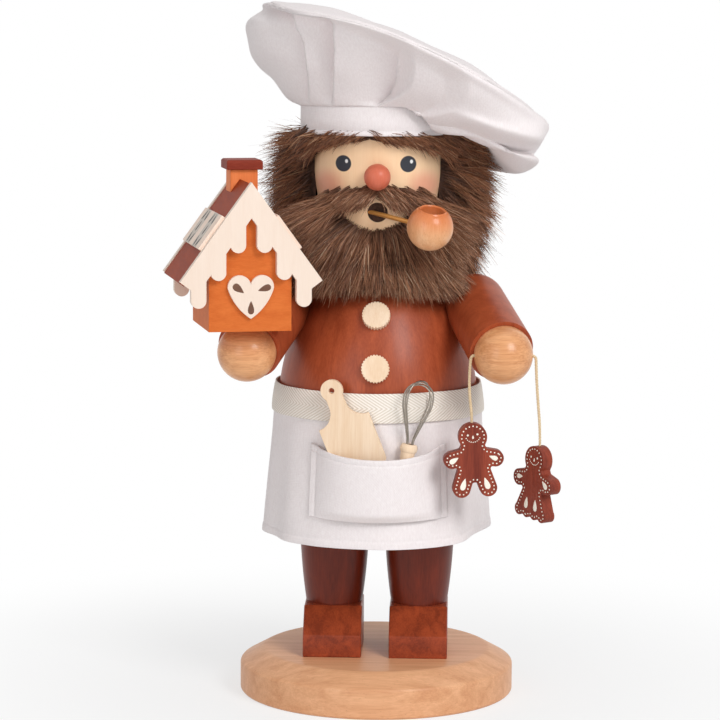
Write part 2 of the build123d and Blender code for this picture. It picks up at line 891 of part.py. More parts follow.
# Apron: an open-backed flared skirt whose side and back panels bulge into folds at the hem
apron_mid_radius = apron_radius_at(apron_top - apron_length / 2)
pocket_half_angle = math.degrees(math.asin(pocket_width / 2 / apron_mid_radius))


def apron_ring(radius, fold):
    step = 360 / apron_panels
    middles = [number * step for number in range(apron_panels)]
    flat_angle = pocket_half_angle + step / 2
    folds = [fold if flat_angle < middle < 360 - flat_angle else 0.0 for middle in middles]
    return puffed_ring(radius, radius, folds)


with BuildPart() as apron_skirt:
    for wall, mode in ((0, Mode.ADD), (cloth_thickness, Mode.SUBTRACT)):
        for level, fold in ((apron_hem, apron_fold_depth), (apron_top, 0)):
            with BuildSketch(Plane.XY.offset(level)):
                add(apron_ring(apron_radius_at(level) - wall, fold))
                make_face()
        loft(ruled=True, mode=mode)
    with BuildSketch(Plane.XY.offset(apron_hem)):
        gap_reach = 2 * apron_hem_radius
        gap_half = gap_reach * math.tan(math.radians(apron_back_gap / 2))
        Polygon((0, 0), (gap_half, gap_reach), (-gap_half, gap_reach), align=None)
    extrude(amount=apron_length, mode=Mode.SUBTRACT)
pieces["apron_skirt"] = apron_skirt

# Waistband tape over the apron's top edge, where its folds begin
band_slack = glue_gap + apron_fold_depth * apron_overlap / apron_length
with BuildPart() as waistband:
    with BuildSketch(Plane.XZ):
        with BuildLine():
            Polyline(
                (apron_radius_at(band_bottom) + band_slack, band_bottom),
                (apron_radius_at(band_bottom) + band_slack + band_thickness, band_bottom),
                (apron_radius_at(band_top) + band_slack + band_thickness, band_top),
                (apron_radius_at(band_top) + band_slack, band_top),
                close=True,
            )
        make_face()
    revolve(axis=Axis.Z)
pieces["waistband"] = waistband

# Patch pocket: a pouch with a floor, standing off the apron to hold the tools
pocket_bottom = apron_hem + pocket_rise
pocket_top = pocket_bottom + pocket_height


# Room between the apron and the middle of the pocket's face at a level
def pocket_gap_at(level):
    share = (level - pocket_bottom) / pocket_height
    return pocket_bottom_gap + share * (pocket_top_gap - pocket_bottom_gap)


# Closed outline of the pocket or its room at a level: a bowed face between two seams on the apron
def pocket_outline(level, inset, back, edge, gap):
    radius = apron_radius_at(level) + glue_gap
    half_angle = pocket_half_angle - math.degrees(inset / radius)

    def spot(share, stand_off):
        turn = math.radians(pocket_angle + share * half_angle)
        return ((radius + stand_off) * math.sin(turn), -(radius + stand_off) * math.cos(turn))

    with BuildLine() as outline:
        ThreePointArc(spot(-1, edge), spot(0, gap), spot(1, edge))
        Line(spot(1, edge), spot(1, back))
        ThreePointArc(spot(1, back), spot(0, back), spot(-1, back))
        Line(spot(-1, back), spot(-1, edge))
    return outline.line


with BuildPart() as apron_pocket:
    for level in (pocket_bottom, pocket_top):
        edge = pocket_edge_gap + cloth_thickness
        with BuildSketch(Plane.XY.offset(level)):
            add(pocket_outline(level, 0.0, 0.0, edge, pocket_gap_at(level) + cloth_thickness))
            make_face()
    loft(ruled=True)
    for level in (pocket_bottom + cloth_thickness, pocket_top + cloth_thickness):
        with BuildSketch(Plane.XY.offset(level)):
            add(pocket_outline(level, pocket_seam, -cloth_thickness, pocket_edge_gap, pocket_gap_at(level)))
            make_face()
    loft(ruled=True, mode=Mode.SUBTRACT)
pieces["apron_pocket"] = apron_pocket

# Cutting board leaning in the pocket, its handle up and to the figure's right
board_foot_z = pocket_top + board_rise - board_length
board_wall = facing_plane(board_angle, apron_radius_at(board_foot_z) + soft_gap, pocket_top + board_rise)
board_plane = Plane(board_wall.location * Location((board_shift, 0, 0), (0, 0, board_lean)))
handle_end = board_handle_length - board_handle_width / 2
with BuildPart() as cutting_board:
    with BuildSketch(board_plane) as board_outline:
        with BuildLine():
            for side in (-1, 1):
                neck = (side * board_neck_width / 2, board_neck_flare)
                shoulder = (side * board_width / 2, 0)
                Polyline((0, handle_end), (side * board_neck_width / 2, handle_end), neck)
                TangentArc(neck, shoulder, tangent=(0, -1))
                Polyline(shoulder, (side * board_width / 2, -board_length), (0, -board_length))
        make_face()
        foot_corners = board_outline.vertices().filter_by(lambda corner: abs(corner.X) > board_neck_width)
        fillet(foot_corners.sort_by(Axis.Y)[:2], board_corner_radius)
        with Locations((0, handle_end)):
            Circle(board_handle_width / 2)
            Circle(board_hole_radius, mode=Mode.SUBTRACT)
    extrude(amount=board_thickness)
pieces["cutting_board"] = cutting_board

# Whisk: a turned handle in the pocket, and wire loops that nest one above the other
whisk_level = pocket_top - whisk_sunk
whisk_stand_off = apron_radius_at(whisk_level) + whisk_grip_radius + soft_gap
whisk_base = facing_plane(whisk_angle, whisk_stand_off, whisk_level)
whisk_along = whisk_base.y_dir.rotate(Axis((0, 0, 0), whisk_base.z_dir), -whisk_lean)
whisk_foot = whisk_base.origin
with BuildPart() as whisk_handle:
    with BuildSketch(axis_plane(whisk_foot, whisk_along)):
        with BuildLine():
            Polyline(
                (0, whisk_grip_height),
                (0, -whisk_handle_length),
                (whisk_tip_radius, -whisk_handle_length),
                (whisk_handle_radius, 0),
            )
            ThreePointArc(
                (whisk_handle_radius, 0),
                (whisk_grip_radius, whisk_grip_height / 2),
                (whisk_handle_radius, whisk_grip_height),
            )
            Line((whisk_handle_radius, whisk_grip_height), (0, whisk_grip_height))
        make_face()
    revolve(axis=Axis(whisk_foot, whisk_along))
    socket_radius = whisk_wire_foot + whisk_wire_radius + glue_gap
    socket_mouth = whisk_foot + whisk_along * whisk_grip_height
    rod(socket_mouth, -whisk_along, socket_radius, whisk_socket_depth, Mode.SUBTRACT)
pieces["whisk_handle"] = whisk_handle

with BuildPart() as whisk_wires:
    wire_foot = whisk_foot + whisk_along * (whisk_grip_height - whisk_socket_depth + glue_gap)
    sideways = whisk_along.cross(whisk_base.z_dir)
    for number in range(whisk_loops):
        turn = (number - (whisk_loops - 1) / 2) * whisk_loop_turn
        across = sideways.rotate(Axis((0, 0, 0), whisk_along), turn)
        loop_plane = Plane(origin=wire_foot, x_dir=across, z_dir=across.cross(whisk_along))
        reach = whisk_half_width + number * whisk_loop_step
        top = whisk_length + number * whisk_loop_step
        half_loop = [
            (whisk_wire_foot, 0),
            (whisk_wire_foot, whisk_wire_straight),
            (reach, top - reach - whisk_cheek),
            (reach, top),
        ]
        crown = reach - whisk_crown_flat
        corners = [*half_loop, *[(-x, y) for x, y in reversed(half_loop)]]
        bends = [whisk_wire_bend, whisk_wire_bend, crown, crown, whisk_wire_bend, whisk_wire_bend]
        with BuildLine() as loop:
            FilletPolyline(*[loop_plane.from_local_coords(corner) for corner in corners], radius=bends)
        with BuildSketch(Plane(origin=loop.line @ 0, z_dir=loop.line % 0)):
            Circle(whisk_wire_radius)
        sweep(path=loop.line)
pieces["whisk_wires"] = whisk_wires

# Hair: a cap under the hat, hanging long round the sides and back
with BuildPart() as hair:
    with BuildSketch(radial_plane(hair_opening)):
        with BuildLine():
            ThreePointArc(
                (head_radius, chin + hair_cap_bottom + soft_gap),
                (hair_reach, chin + (hair_cap_bottom - hair_drop) / 2),
                (head_radius, chin - hair_drop),
            )
            Line((head_radius, chin - hair_drop), (head_radius, chin + hair_cap_bottom + soft_gap))
        make_face()
    revolve(axis=Axis.Z, revolution_arc=360 - 2 * hair_opening)
    with BuildSketch(Plane.XZ):
        with BuildLine():
            Polyline(
                (head_top_radius, chin + hair_cap_bottom),
                (head_radius + hair_cap_thickness, chin + hair_cap_bottom),
                (head_radius + hair_cap_thickness, side_top + hair_cap_thickness),
                (head_top_radius, side_top + hair_cap_thickness),
                close=True,
            )
        make_face()
    revolve(axis=Axis.Z)
    add(head_form.part, mode=Mode.SUBTRACT)
    add(house_room.part, mode=Mode.SUBTRACT)
pieces["hair"] = hair

# Moustache: two sweeps under the nose that follow the face
moustache_low = mouth_z + mouth_radius + moustache_lip
moustache_end = mouth_z + moustache_end_rise
nose_foot = nose_z - nose_radius
with BuildPart() as moustache:
    with BuildSketch(Plane.XZ):
        with BuildLine():
            for side in (-1, 1):
                end = (side * moustache_half_width, moustache_end)
                ThreePointArc((0, nose_foot), (side * moustache_half_width / 2, nose_foot - soft_gap), end)
                ThreePointArc(end, (side * moustache_half_width / 2, moustache_low), (0, moustache_low))
        make_face()
    extrude(amount=head_radius + moustache_thickness)
    with BuildSketch(Plane.XY.offset(chin)):
        Circle(head_radius + moustache_thickness)
    extrude(amount=head_jaw_height, mode=Mode.INTERSECT)
    add(head_form.part, mode=Mode.SUBTRACT)
    with Locations((0, -head_radius - nose_proud, nose_z)):
        Sphere(nose_radius + soft_gap, mode=Mode.SUBTRACT)
pieces["moustache"] = moustache

# Beard: a full bib from ear to ear, open round the mouth and resting on the torso's dome
beard_top = moustache_end - soft_gap
beard_bottom = chin - beard_drop
with BuildPart() as beard:
    with BuildSketch(radial_plane(-hair_opening)):
        with BuildLine():
            ThreePointArc(
                (head_radius, beard_top),
                (beard_reach, (beard_top + beard_bottom) / 2),
                (torso_radius_at(beard_bottom) + moustache_thickness, beard_bottom),
            )
            Polyline(
                (torso_radius_at(beard_bottom) + moustache_thickness, beard_bottom),
                (neck_radius, beard_bottom),
                (neck_radius, beard_top),
                (head_radius, beard_top),
            )
        make_face()
    revolve(axis=Axis.Z, revolution_arc=2 * hair_opening)
    with BuildSketch(Plane.XZ):
        with Locations((0, mouth_z)):
            Ellipse(mouth_bare_width / 2, mouth_bare_height / 2)
    extrude(amount=2 * beard_reach, mode=Mode.SUBTRACT)
    add(head_form.part, mode=Mode.SUBTRACT)
    add(torso_form.part, mode=Mode.SUBTRACT)
    add(house_room.part, mode=Mode.SUBTRACT)
    for sleeve in ("right_arm", "left_arm"):
        add(pieces[sleeve].part, mode=Mode.SUBTRACT)
pieces["beard"] = beard

# Hat band round the hair cap
with BuildPart() as hat_band:
    with BuildSketch(Plane.XY.offset(chin + hat_band_bottom)):
        Circle(head_radius + hair_cap_thickness + soft_gap + hat_band_thickness)
        Circle(head_radius + hair_cap_thickness + soft_gap, mode=Mode.SUBTRACT)
    extrude(amount=hat_band_height)
pieces["hat_band"] = hat_band


# Plane of one hat section: set off from the seam, then tipped down towards +X and the back
def hat_plane(center, tilts, rise):
    side, back = [math.tan(math.radians(tilt)) for tilt in tilts]
    normal = Vector(side, back, 1).normalized()
    middle = Vector(center[0], 0, hat_seam + center[1]) + normal * rise
    return Plane(origin=middle, x_dir=(1, 0, -side), z_dir=normal)


# Rings of the hat from its seam to the top of its slack dome, less a wall
def hat_rings(wall):
    foot = head_radius + hair_cap_thickness + soft_gap + hat_band_thickness - wall
    rim = hat_rim_radius - wall
    mid_x, mid_y = [radius - wall for radius in hat_mid_radii]
    sections = [
        (hat_plane((0, 0), (0, 0), 0), foot, foot, 0),
        (hat_plane(hat_mid_center, hat_mid_tilts, 0), mid_x, mid_y, hat_pleat_depth),
        (hat_plane(hat_rim_center, hat_rim_tilts, 0), rim, rim, hat_pleat_depth / 2),
    ]
    for rise, share in hat_dome_steps:
        plane = hat_plane(hat_rim_center, hat_rim_tilts, rise * (hat_dome_height - wall))
        sections.append((plane, share * rim, share * rim, 0))
    rings = []
    for plane, radius_x, radius_y, depth in sections:
        ring = puffed_ring(radius_x, radius_y, [depth] * hat_pleats)
        rings.append([arc.moved(plane.location) for arc in ring])
    return rings


# Hat crown: gathered into the band, drooping on the figure's left, with a slack domed top
hat_lining = hat_rings(hat_wall)
hat_courses = hat_lining[::-1] + hat_rings(0)
hat_faces = [Face(Wire(hat_courses[0])), Face(Wire(hat_courses[-1]))]
for lower, upper in zip(hat_courses, hat_courses[1:]):
    hat_faces += [Face.make_surface_from_curves(*pair) for pair in zip(lower, upper)]
with BuildPart() as hat_crown:
    add(Solid(Shell(hat_faces)))
pieces["hat_crown"] = hat_crown

# String held in the left hand, turning down where it leaves the bore on either side
string_reach = hand_radius + string_out
string_exits = [left_hand_center + Vector(side * string_reach, -string_forward, 0) for side in (-1, 1)]
with BuildPart() as hand_string:
    with BuildLine() as hand_route:
        FilletPolyline(
            string_exits[0] - Vector(0, 0, string_drop),
            string_exits[0],
            string_exits[1],
            string_exits[1] - Vector(0, 0, string_drop),
            radius=string_bend,
        )
    with BuildSketch(Plane(origin=hand_route.line @ 0, z_dir=hand_route.line % 0)):
        Circle(string_radius)
    sweep(path=hand_route.line)
pieces["hand_string"] = hand_string


# Free stretch from below the hand into a cookie's head: sideways and downward steps from its top
def hang_points(side, steps):
    top = string_exits[0 if side < 0 else 1] - Vector(0, 0, string_drop + soft_gap)
    return [top + Vector(out, 0, -down) for out, down in steps]


man_points = hang_points(-1, man_string_steps)
woman_points = hang_points(1, woman_string_steps)
pieces["man_string"] = make_string("man_string", man_points)
pieces["woman_string"] = make_string("woman_string", woman_points)


# Plane of a cookie's front face: origin at the top of its head, turned about the string and rolled
def cookie_plane(points, turn, roll):
    top = points[-1] + Vector(0, 0, string_seat)
    front = Plane(origin=top, x_dir=(1, 0, 0), z_dir=(0, -1, 0))
    return Plane(front.location * Location((0, 0, 0), (0, turn, 0)) * Location((0, 0, 0), (0, 0, roll)))


def make_cookie(points, turn, roll, skirt):
    plane = cookie_plane(points, turn, roll)
    with BuildPart() as cookie:
        with BuildSketch(plane):
            with Locations((0, -cookie_head_radius)):
                Circle(cookie_head_radius)
            limb((0, -trunk_top), (0, -trunk_bottom), trunk_width)
            for side in (-1, 1):
                palm = (side * cookie_arm_reach, -arm_root - cookie_arm_drop)
                limb((0, -arm_root), palm, cookie_arm_width)
            if skirt:
                Polygon(
                    (-trunk_width / 2, -trunk_bottom),
                    (trunk_width / 2, -trunk_bottom),
                    (cookie_skirt_width / 2, -cookie_height + scallop_radius),
                    (-cookie_skirt_width / 2, -cookie_height + scallop_radius),
                    align=None,
                )
                pitch = (cookie_skirt_width - 2 * scallop_radius) / (scallop_count - 1)
                for number in range(scallop_count):
                    x = -cookie_skirt_width / 2 + scallop_radius + number * pitch
                    with Locations((x, -cookie_height + scallop_radius)):
                        Circle(scallop_radius)
            else:
                for side in (-1, 1):
                    foot = (side * cookie_foot_reach, -cookie_height + cookie_leg_width / 2)
                    limb((side * cookie_foot_reach / 2, -trunk_bottom), foot, cookie_leg_width)
            offset(amount=cookie_nook_radius)
            offset(amount=-cookie_nook_radius)
        extrude(amount=cookie_thickness / 2, both=True)
        rod(points[-1], (0, 0, 1), string_radius + glue_gap, 2 * string_seat, Mode.SUBTRACT)
    return cookie


pieces["gingerbread_man"] = make_cookie(man_points, man_turn, man_roll, False)
pieces["gingerbread_woman"] = make_cookie(woman_points, woman_turn, woman_roll, True)

os.makedirs("parts", exist_ok=True)
for name, piece in pieces.items():
    piece.part.label = name
    export_step(piece.part, "parts/" + name + ".step")
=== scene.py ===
import math
import random
import bmesh
import bpy
from mathutils import Matrix, Vector, noise


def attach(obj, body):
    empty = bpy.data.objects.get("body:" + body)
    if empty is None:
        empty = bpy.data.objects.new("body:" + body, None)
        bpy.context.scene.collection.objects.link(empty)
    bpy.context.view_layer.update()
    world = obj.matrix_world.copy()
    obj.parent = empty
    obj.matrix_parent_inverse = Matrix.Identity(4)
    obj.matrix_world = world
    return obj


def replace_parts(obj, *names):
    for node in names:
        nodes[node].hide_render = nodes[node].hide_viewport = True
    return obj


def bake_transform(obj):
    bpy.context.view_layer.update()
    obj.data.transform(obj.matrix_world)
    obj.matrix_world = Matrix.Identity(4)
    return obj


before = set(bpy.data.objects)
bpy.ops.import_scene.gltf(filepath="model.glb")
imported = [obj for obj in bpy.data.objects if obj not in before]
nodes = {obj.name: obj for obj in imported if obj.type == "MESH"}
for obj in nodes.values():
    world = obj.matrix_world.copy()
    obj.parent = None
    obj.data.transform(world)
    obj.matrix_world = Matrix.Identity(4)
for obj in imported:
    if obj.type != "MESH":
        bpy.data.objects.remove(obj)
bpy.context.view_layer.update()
dice = random.Random(11)
mm = 0.001
creaseAngle = 0.6


# Colour given as the eye reads it, turned into scene light
def tint(red, green, blue):
    return (*[((c / 255 + 0.055) / 1.055) ** 2.4 for c in (red, green, blue)], 1.0)


# One output of a shader node, with plain sums
class Wire:
    def __init__(self, look, socket):
        self.look = look
        self.socket = socket

    def sum(self, kind, *others):
        return self.look.node("ShaderNodeMath", {"operation": kind}, dict(enumerate([self, *others])))

    def __add__(self, other):
        return self.sum("ADD", other)

    def __sub__(self, other):
        return self.sum("SUBTRACT", other)

    def __mul__(self, other):
        return self.sum("MULTIPLY", other)

    def __truediv__(self, other):
        return self.sum("DIVIDE", other)

    def __rsub__(self, other):
        return self * -1.0 + other

    __radd__ = __add__
    __rmul__ = __mul__

    def rise(self, low, high):
        settings = {"interpolation_type": "SMOOTHSTEP", "clamp": True}
        return self.look.node("ShaderNodeMapRange", settings, {0: self, 1: low, 2: high})


# A tree of shader nodes: a place in millimetres, and a way to add any node
class Look:
    def __init__(self, name):
        self.material = bpy.data.materials.new(name)
        self.material.use_nodes = True
        self.tree = self.material.node_tree
        self.shader = self.tree.nodes["Principled BSDF"]
        place = self.node("ShaderNodeTexCoord", {}, {}, "Object")
        self.spot = self.node("ShaderNodeVectorMath", {"operation": "SCALE"}, {0: place, "Scale": 1000.0})
        self.x, self.y, self.z = self.split(self.spot)

    def node(self, kind, settings, inputs, output=0):
        made = self.tree.nodes.new(kind)
        for key, value in settings.items():
            setattr(made, key, value)
        for key, value in inputs.items():
            if isinstance(value, Wire):
                self.tree.links.new(value.socket, made.inputs[key])
            else:
                made.inputs[key].default_value = value
        return Wire(self, made.outputs[output])

    def split(self, vector):
        parts = self.node("ShaderNodeSeparateXYZ", {}, {0: vector})
        return [Wire(self, socket) for socket in parts.socket.node.outputs]

    def stretched(self, x, y, z):
        return self.node("ShaderNodeVectorMath", {"operation": "MULTIPLY"}, {0: self.spot, 1: (x, y, z)})

    # Distance from a point along a direction
    def along(self, start, way):
        apart = self.node("ShaderNodeVectorMath", {"operation": "SUBTRACT"}, {0: self.spot, 1: start})
        return self.node("ShaderNodeVectorMath", {"operation": "DOT_PRODUCT"}, {0: apart, 1: way}, "Value")

    def noise(self, vector, scale, detail=3.0, roughness=0.5, distortion=0.0):
        sizes = {"Scale": scale, "Detail": detail, "Roughness": roughness, "Distortion": distortion}
        return self.node("ShaderNodeTexNoise", {}, {"Vector": vector, **sizes})

    def ramp(self, value, *stops):
        made = self.node("ShaderNodeValToRGB", {}, {0: value})
        marks = made.socket.node.color_ramp.elements
        while len(marks) < len(stops):
            marks.new(0.5)
        for mark, (place, colour) in zip(marks, stops):
            mark.position = place
            mark.color = colour
        return made

    def mix(self, factor, first, second):
        return self.node("ShaderNodeMix", {"data_type": "RGBA"}, {0: factor, 6: first, 7: second}, 2)

    def bump(self, height, strength, distance=0.0002):
        sizes = {"Strength": strength, "Distance": distance}
        self.put("Normal", self.node("ShaderNodeBump", {}, {"Height": height, **sizes}))

    def put(self, name, value):
        if isinstance(value, Wire):
            self.tree.links.new(value.socket, self.shader.inputs[name])
        else:
            self.shader.inputs[name].default_value = value


# Distance on a plane from a point, with the second direction scaled to make ovals
def around(across, up, middleAcross, middleUp, oval=1.0):
    first = (across - middleAcross) * (across - middleAcross)
    second = (up - middleUp) * (up - middleUp) * oval
    return (first + second).sum("POWER", 0.5)


# Stained or bare wood: long streaks along the grain, fine pores, a lacquer coat
def woodLook(name, pale, deep, grain=(1.0, 1.0, 0.06), rough=0.38, coat=0.25, contrast=0.5, pores=0.15):
    look = Look(name)
    run = look.stretched(*grain)
    broad = look.noise(run, 0.22, 4.0, 0.55, 0.6)
    fine = look.noise(run, 1.9, 3.0, 0.6)
    streaks = broad * 0.6 + fine * 0.4
    half = 0.17 * contrast + 0.04
    look.colour = look.ramp(streaks, (0.5 - half, deep), (0.5 + half, pale))
    look.put("Base Color", look.colour)
    look.put("Roughness", fine * 0.12 + (rough - 0.06))
    look.put("Specular IOR Level", 0.25)
    look.put("Coat Weight", coat)
    look.put("Coat Roughness", 0.22)
    look.bump(fine, pores, 0.0001)
    return look


# Puts a mesh in the scene, on the body it moves with
def placed(name, mesh, look, body):
    mesh.materials.append(look.material)
    piece = bpy.data.objects.new(name, mesh)
    bpy.context.collection.objects.link(piece)
    if body:
        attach(piece, body)
    return piece


# Piece from a shape made in millimetres, sharp only where its faces meet at more than the given angle
def meshPiece(name, shape, look, body=None, crease=creaseAngle):
    bmesh.ops.scale(shape, vec=(mm, mm, mm), verts=shape.verts)
    mesh = bpy.data.meshes.new(name)
    shape.to_mesh(mesh)
    shape.free()
    mesh.shade_smooth()
    mesh.set_sharp_from_angle(angle=crease)
    return placed(name, mesh, look, body)


# Turned profile: straight runs whose listed corners are rounded
def softProfile(corners):
    line = []
    for number, (radius, height, easing) in enumerate(corners):
        here = Vector((radius, height))
        if easing == 0 or number in (0, len(corners) - 1):
            line.append(here)
            continue
        before = Vector(corners[number - 1][:2]) - here
        after = Vector(corners[number + 1][:2]) - here
        first = here + before.normalized() * easing
        last = here + after.normalized() * easing
        for t in steps(0, 1, 4):
            line.append(first * (1 - t) ** 2 + here * 2 * t * (1 - t) + last * t * t)
    return line


# Points of an arc in a profile that leaves one end upright
def arcRun(radius, height, endRadius, endHeight, count=24):
    shrink = radius - endRadius
    rise = endHeight - height
    bend = (shrink**2 + rise**2) / (2 * shrink)
    points = []
    for z in steps(0, rise, count):
        points.append((radius - bend + math.copysign(math.sqrt(bend**2 - z**2), bend), height + z, 0))
    return points


# Turned piece: a profile spun about its axis, then set on its foot
def lathe(name, line, look, body, foot=(0, 0, 0), along=(0, 0, 1), sides=96):
    shape = bmesh.new()
    spots = [shape.verts.new((x, 0, z)) for x, z in line]
    edges = [shape.edges.new(pair) for pair in zip(spots, spots[1:])]
    bmesh.ops.spin(
        shape, geom=spots + edges, cent=(0, 0, 0), axis=(0, 0, 1), angle=2 * math.pi, steps=sides, use_merge=True
    )
    bmesh.ops.remove_doubles(shape, verts=shape.verts, dist=0.001)
    bmesh.ops.recalc_face_normals(shape, faces=shape.faces)
    turn = Vector((0, 0, 1)).rotation_difference(Vector(along).normalized()).to_matrix().to_4x4()
    bmesh.ops.transform(shape, matrix=Matrix.Translation(foot) @ turn, verts=shape.verts)
    return meshPiece(name, shape, look, body)


# A CAD solid in millimetres, with flat faces whole
def solidShape(node):
    shape = bmesh.new()
    shape.from_mesh(nodes[node].data)
    bmesh.ops.scale(shape, vec=(1000, 1000, 1000), verts=shape.verts)
    bmesh.ops.remove_doubles(shape, verts=shape.verts, dist=0.001)
    bmesh.ops.dissolve_limit(shape, angle_limit=0.02, verts=shape.verts, edges=shape.edges)
    return shape


# Copy of a CAD solid with its edges eased, which then stands for it
def eased(look, body, width, segments, *names):
    for node in names:
        shape = solidShape(node)
        sharp = [edge for edge in shape.edges if len(edge.link_faces) == 2 and edge.calc_face_angle(0) > creaseAngle]
        bmesh.ops.bevel(
            shape, geom=sharp, offset=width, affect="EDGES", segments=segments, profile=0.5, material=-1,
            clamp_overlap=True,
        )
        bmesh.ops.recalc_face_normals(shape, faces=shape.faces)
        piece = meshPiece("Eased_" + node, shape, look, body)
        piece.modifiers.new("weights", "WEIGHTED_NORMAL").keep_sharp = True
        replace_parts(piece, node)


# CAD solids that show as they are
def dress(look, *names):
    for name in names:
        mesh = nodes[name].data
        mesh.materials.clear()
        mesh.materials.append(look.material)
        mesh.shade_smooth()
        mesh.set_sharp_from_angle(angle=creaseAngle)


# Cloth made on a flat grid: each crossing of a column and a row is moved to its place
def clothPiece(name, columns, rows, place, look, thickness, wrap=False):
    shape = bmesh.new()
    bmesh.ops.create_grid(shape, x_segments=len(columns) - 1, y_segments=len(rows) - 1, size=0.5)
    for vertex in shape.verts:
        column = columns[round((vertex.co.x + 0.5) * (len(columns) - 1))]
        row = rows[round((vertex.co.y + 0.5) * (len(rows) - 1))]
        vertex.co = place(column, row)
    if wrap:
        bmesh.ops.remove_doubles(shape, verts=shape.verts, dist=0.0001)
    piece = meshPiece(name, shape, look, "figure", 3.0)
    if thickness:
        shell = piece.modifiers.new("cloth", "SOLIDIFY")
        shell.thickness = thickness * mm
        shell.offset = -1.0
    return piece


# Small raised dots and drops of paint, given in the plane of a flat face
def dot(shape, plane, x, y, radius):
    seat = plane @ Matrix.Translation((x, y, 0)) @ Matrix.Diagonal((radius, radius, 0.12, 1))
    bmesh.ops.create_uvsphere(shape, u_segments=8, v_segments=4, radius=1, matrix=seat)


def drop(shape, plane, x, y, turn, length, width):
    made = bmesh.ops.create_uvsphere(shape, u_segments=16, v_segments=6, radius=1)["verts"]
    for vertex in made:
        vertex.co.y *= (1 - 0.62 * vertex.co.x) / 1.2
    size = Matrix.Diagonal((length / 2, width / 2, 0.1, 1))
    seat = plane @ Matrix.Translation((x, y, 0)) @ Matrix.Rotation(math.radians(turn), 4, "Z") @ size
    bmesh.ops.transform(shape, matrix=seat, verts=made)


# Eased step from 0 to 1
def ease(value, low, high):
    share = min(1.0, max(0.0, (value - low) / (high - low)))
    return share * share * (3 - 2 * share)


# Soft bump round a place on a circle of degrees, and round a place on a line
def near(turn, middle, width):
    return bell((turn - middle + 180) % 360 - 180, 0, width)


def bell(value, middle, width):
    return math.exp(-(((value - middle) / width) ** 2))


def steps(first, last, count):
    return [first + (last - first) * number / count for number in range(count + 1)]


# Place at a turn from the front, a distance from the upright axis and a height
def ringSpot(turn, radius, z):
    t = math.radians(turn)
    return Vector((radius * math.sin(t), -radius * math.cos(t), z))


# Camera, floor and light
view = {"away": 1148.0, "height": 281.0, "pitch": 7.54, "azimuth": 2.0, "aside": -7.05, "roll": 0.34, "lens": 150.0}
azimuth, pitch = math.radians(view["azimuth"]), math.radians(view["pitch"])
eye = Vector((view["aside"], -view["away"], view["height"]))
eye.rotate(Matrix.Rotation(azimuth, 3, "Z"))
sight = Vector((-math.sin(azimuth) * math.cos(pitch), math.cos(azimuth) * math.cos(pitch), -math.sin(pitch)))
camera = bpy.data.objects.new("camera", bpy.data.cameras.new("camera"))
camera.data.lens = view["lens"]
camera.data.sensor_width = 36.0
camera.data.clip_end = 100.0
aim = sight.to_track_quat("-Z", "Y").to_matrix().to_4x4() @ Matrix.Rotation(math.radians(view["roll"]), 4, "Z")
camera.matrix_world = Matrix.Translation(eye * mm) @ aim
bpy.context.collection.objects.link(camera)
bpy.context.scene.camera = camera


# Rays that meet the backdrop straight from the camera or by a mirror or a glass
def seenDirectly(tree):
    path = tree.nodes.new("ShaderNodeLightPath")
    found = path.outputs["Is Camera Ray"]
    for kind in ("Is Glossy Ray", "Is Transmission Ray"):
        joined = tree.nodes.new("ShaderNodeMath")
        joined.operation = "MAXIMUM"
        tree.links.new(found, joined.inputs[0])
        tree.links.new(path.outputs[kind], joined.inputs[1])
        found = joined.outputs[0]
    return found


# Pale floor that keeps the shadow near the figure and turns to plain white farther off
backdrop = {"near": 60.0, "far": 260.0, "least": 0.66, "half": 90000, "ambient": 0.38}
floorLook = Look("floor")
floorLook.put("Base Color", (0.9, 0.9, 0.9, 1.0))
floorLook.put("Roughness", 0.9)
floorLook.put("Specular IOR Level", 0.0)
farOff = around(floorLook.x, floorLook.y, 0.0, 0.0).rise(backdrop["near"], backdrop["far"])
seen = Wire(floorLook, seenDirectly(floorLook.tree))
whiteness = (farOff * (1 - backdrop["least"]) + backdrop["least"]) * seen
white = floorLook.node("ShaderNodeEmission", {}, {"Color": (1.0, 1.0, 1.0, 1.0), "Strength": 1.0})
lit = Wire(floorLook, floorLook.shader.outputs[0])
surface = floorLook.node("ShaderNodeMixShader", {}, {0: whiteness, 1: lit, 2: white})
floorLook.tree.links.new(surface.socket, floorLook.tree.nodes["Material Output"].inputs["Surface"])
floorShape = bmesh.new()
bmesh.ops.create_grid(floorShape, x_segments=1, y_segments=1, size=backdrop["half"])
meshPiece("floor", floorShape, floorLook)

world = bpy.data.worlds.new("studio")
world.use_nodes = True
ambient = world.node_tree.nodes["Background"]
ambient.inputs["Color"].default_value = (1.0, 1.0, 1.0, 1.0)
ambient.inputs["Strength"].default_value = backdrop["ambient"]
plain = world.node_tree.nodes.new("ShaderNodeBackground")
plain.inputs["Color"].default_value = (1.0, 1.0, 1.0, 1.0)
chosen = world.node_tree.nodes.new("ShaderNodeMixShader")
world.node_tree.links.new(seenDirectly(world.node_tree), chosen.inputs[0])
world.node_tree.links.new(ambient.outputs[0], chosen.inputs[1])
world.node_tree.links.new(plain.outputs[0], chosen.inputs[2])
world.node_tree.links.new(chosen.outputs[0], world.node_tree.nodes["World Output"].inputs["Surface"])
bpy.context.scene.world = world
bpy.context.scene.view_settings.view_transform = "Standard"


def softbox(name, place, target, size, power):
    lamp = bpy.data.objects.new(name, bpy.data.lights.new(name, "AREA"))
    lamp.data.shape = "RECTANGLE"
    lamp.data.size, lamp.data.size_y = size
    lamp.data.energy = power
    lamp.location = place
    lamp.rotation_euler = (Vector(target) - Vector(place)).to_track_quat("-Z", "Y").to_euler()
    bpy.context.collection.objects.link(lamp)


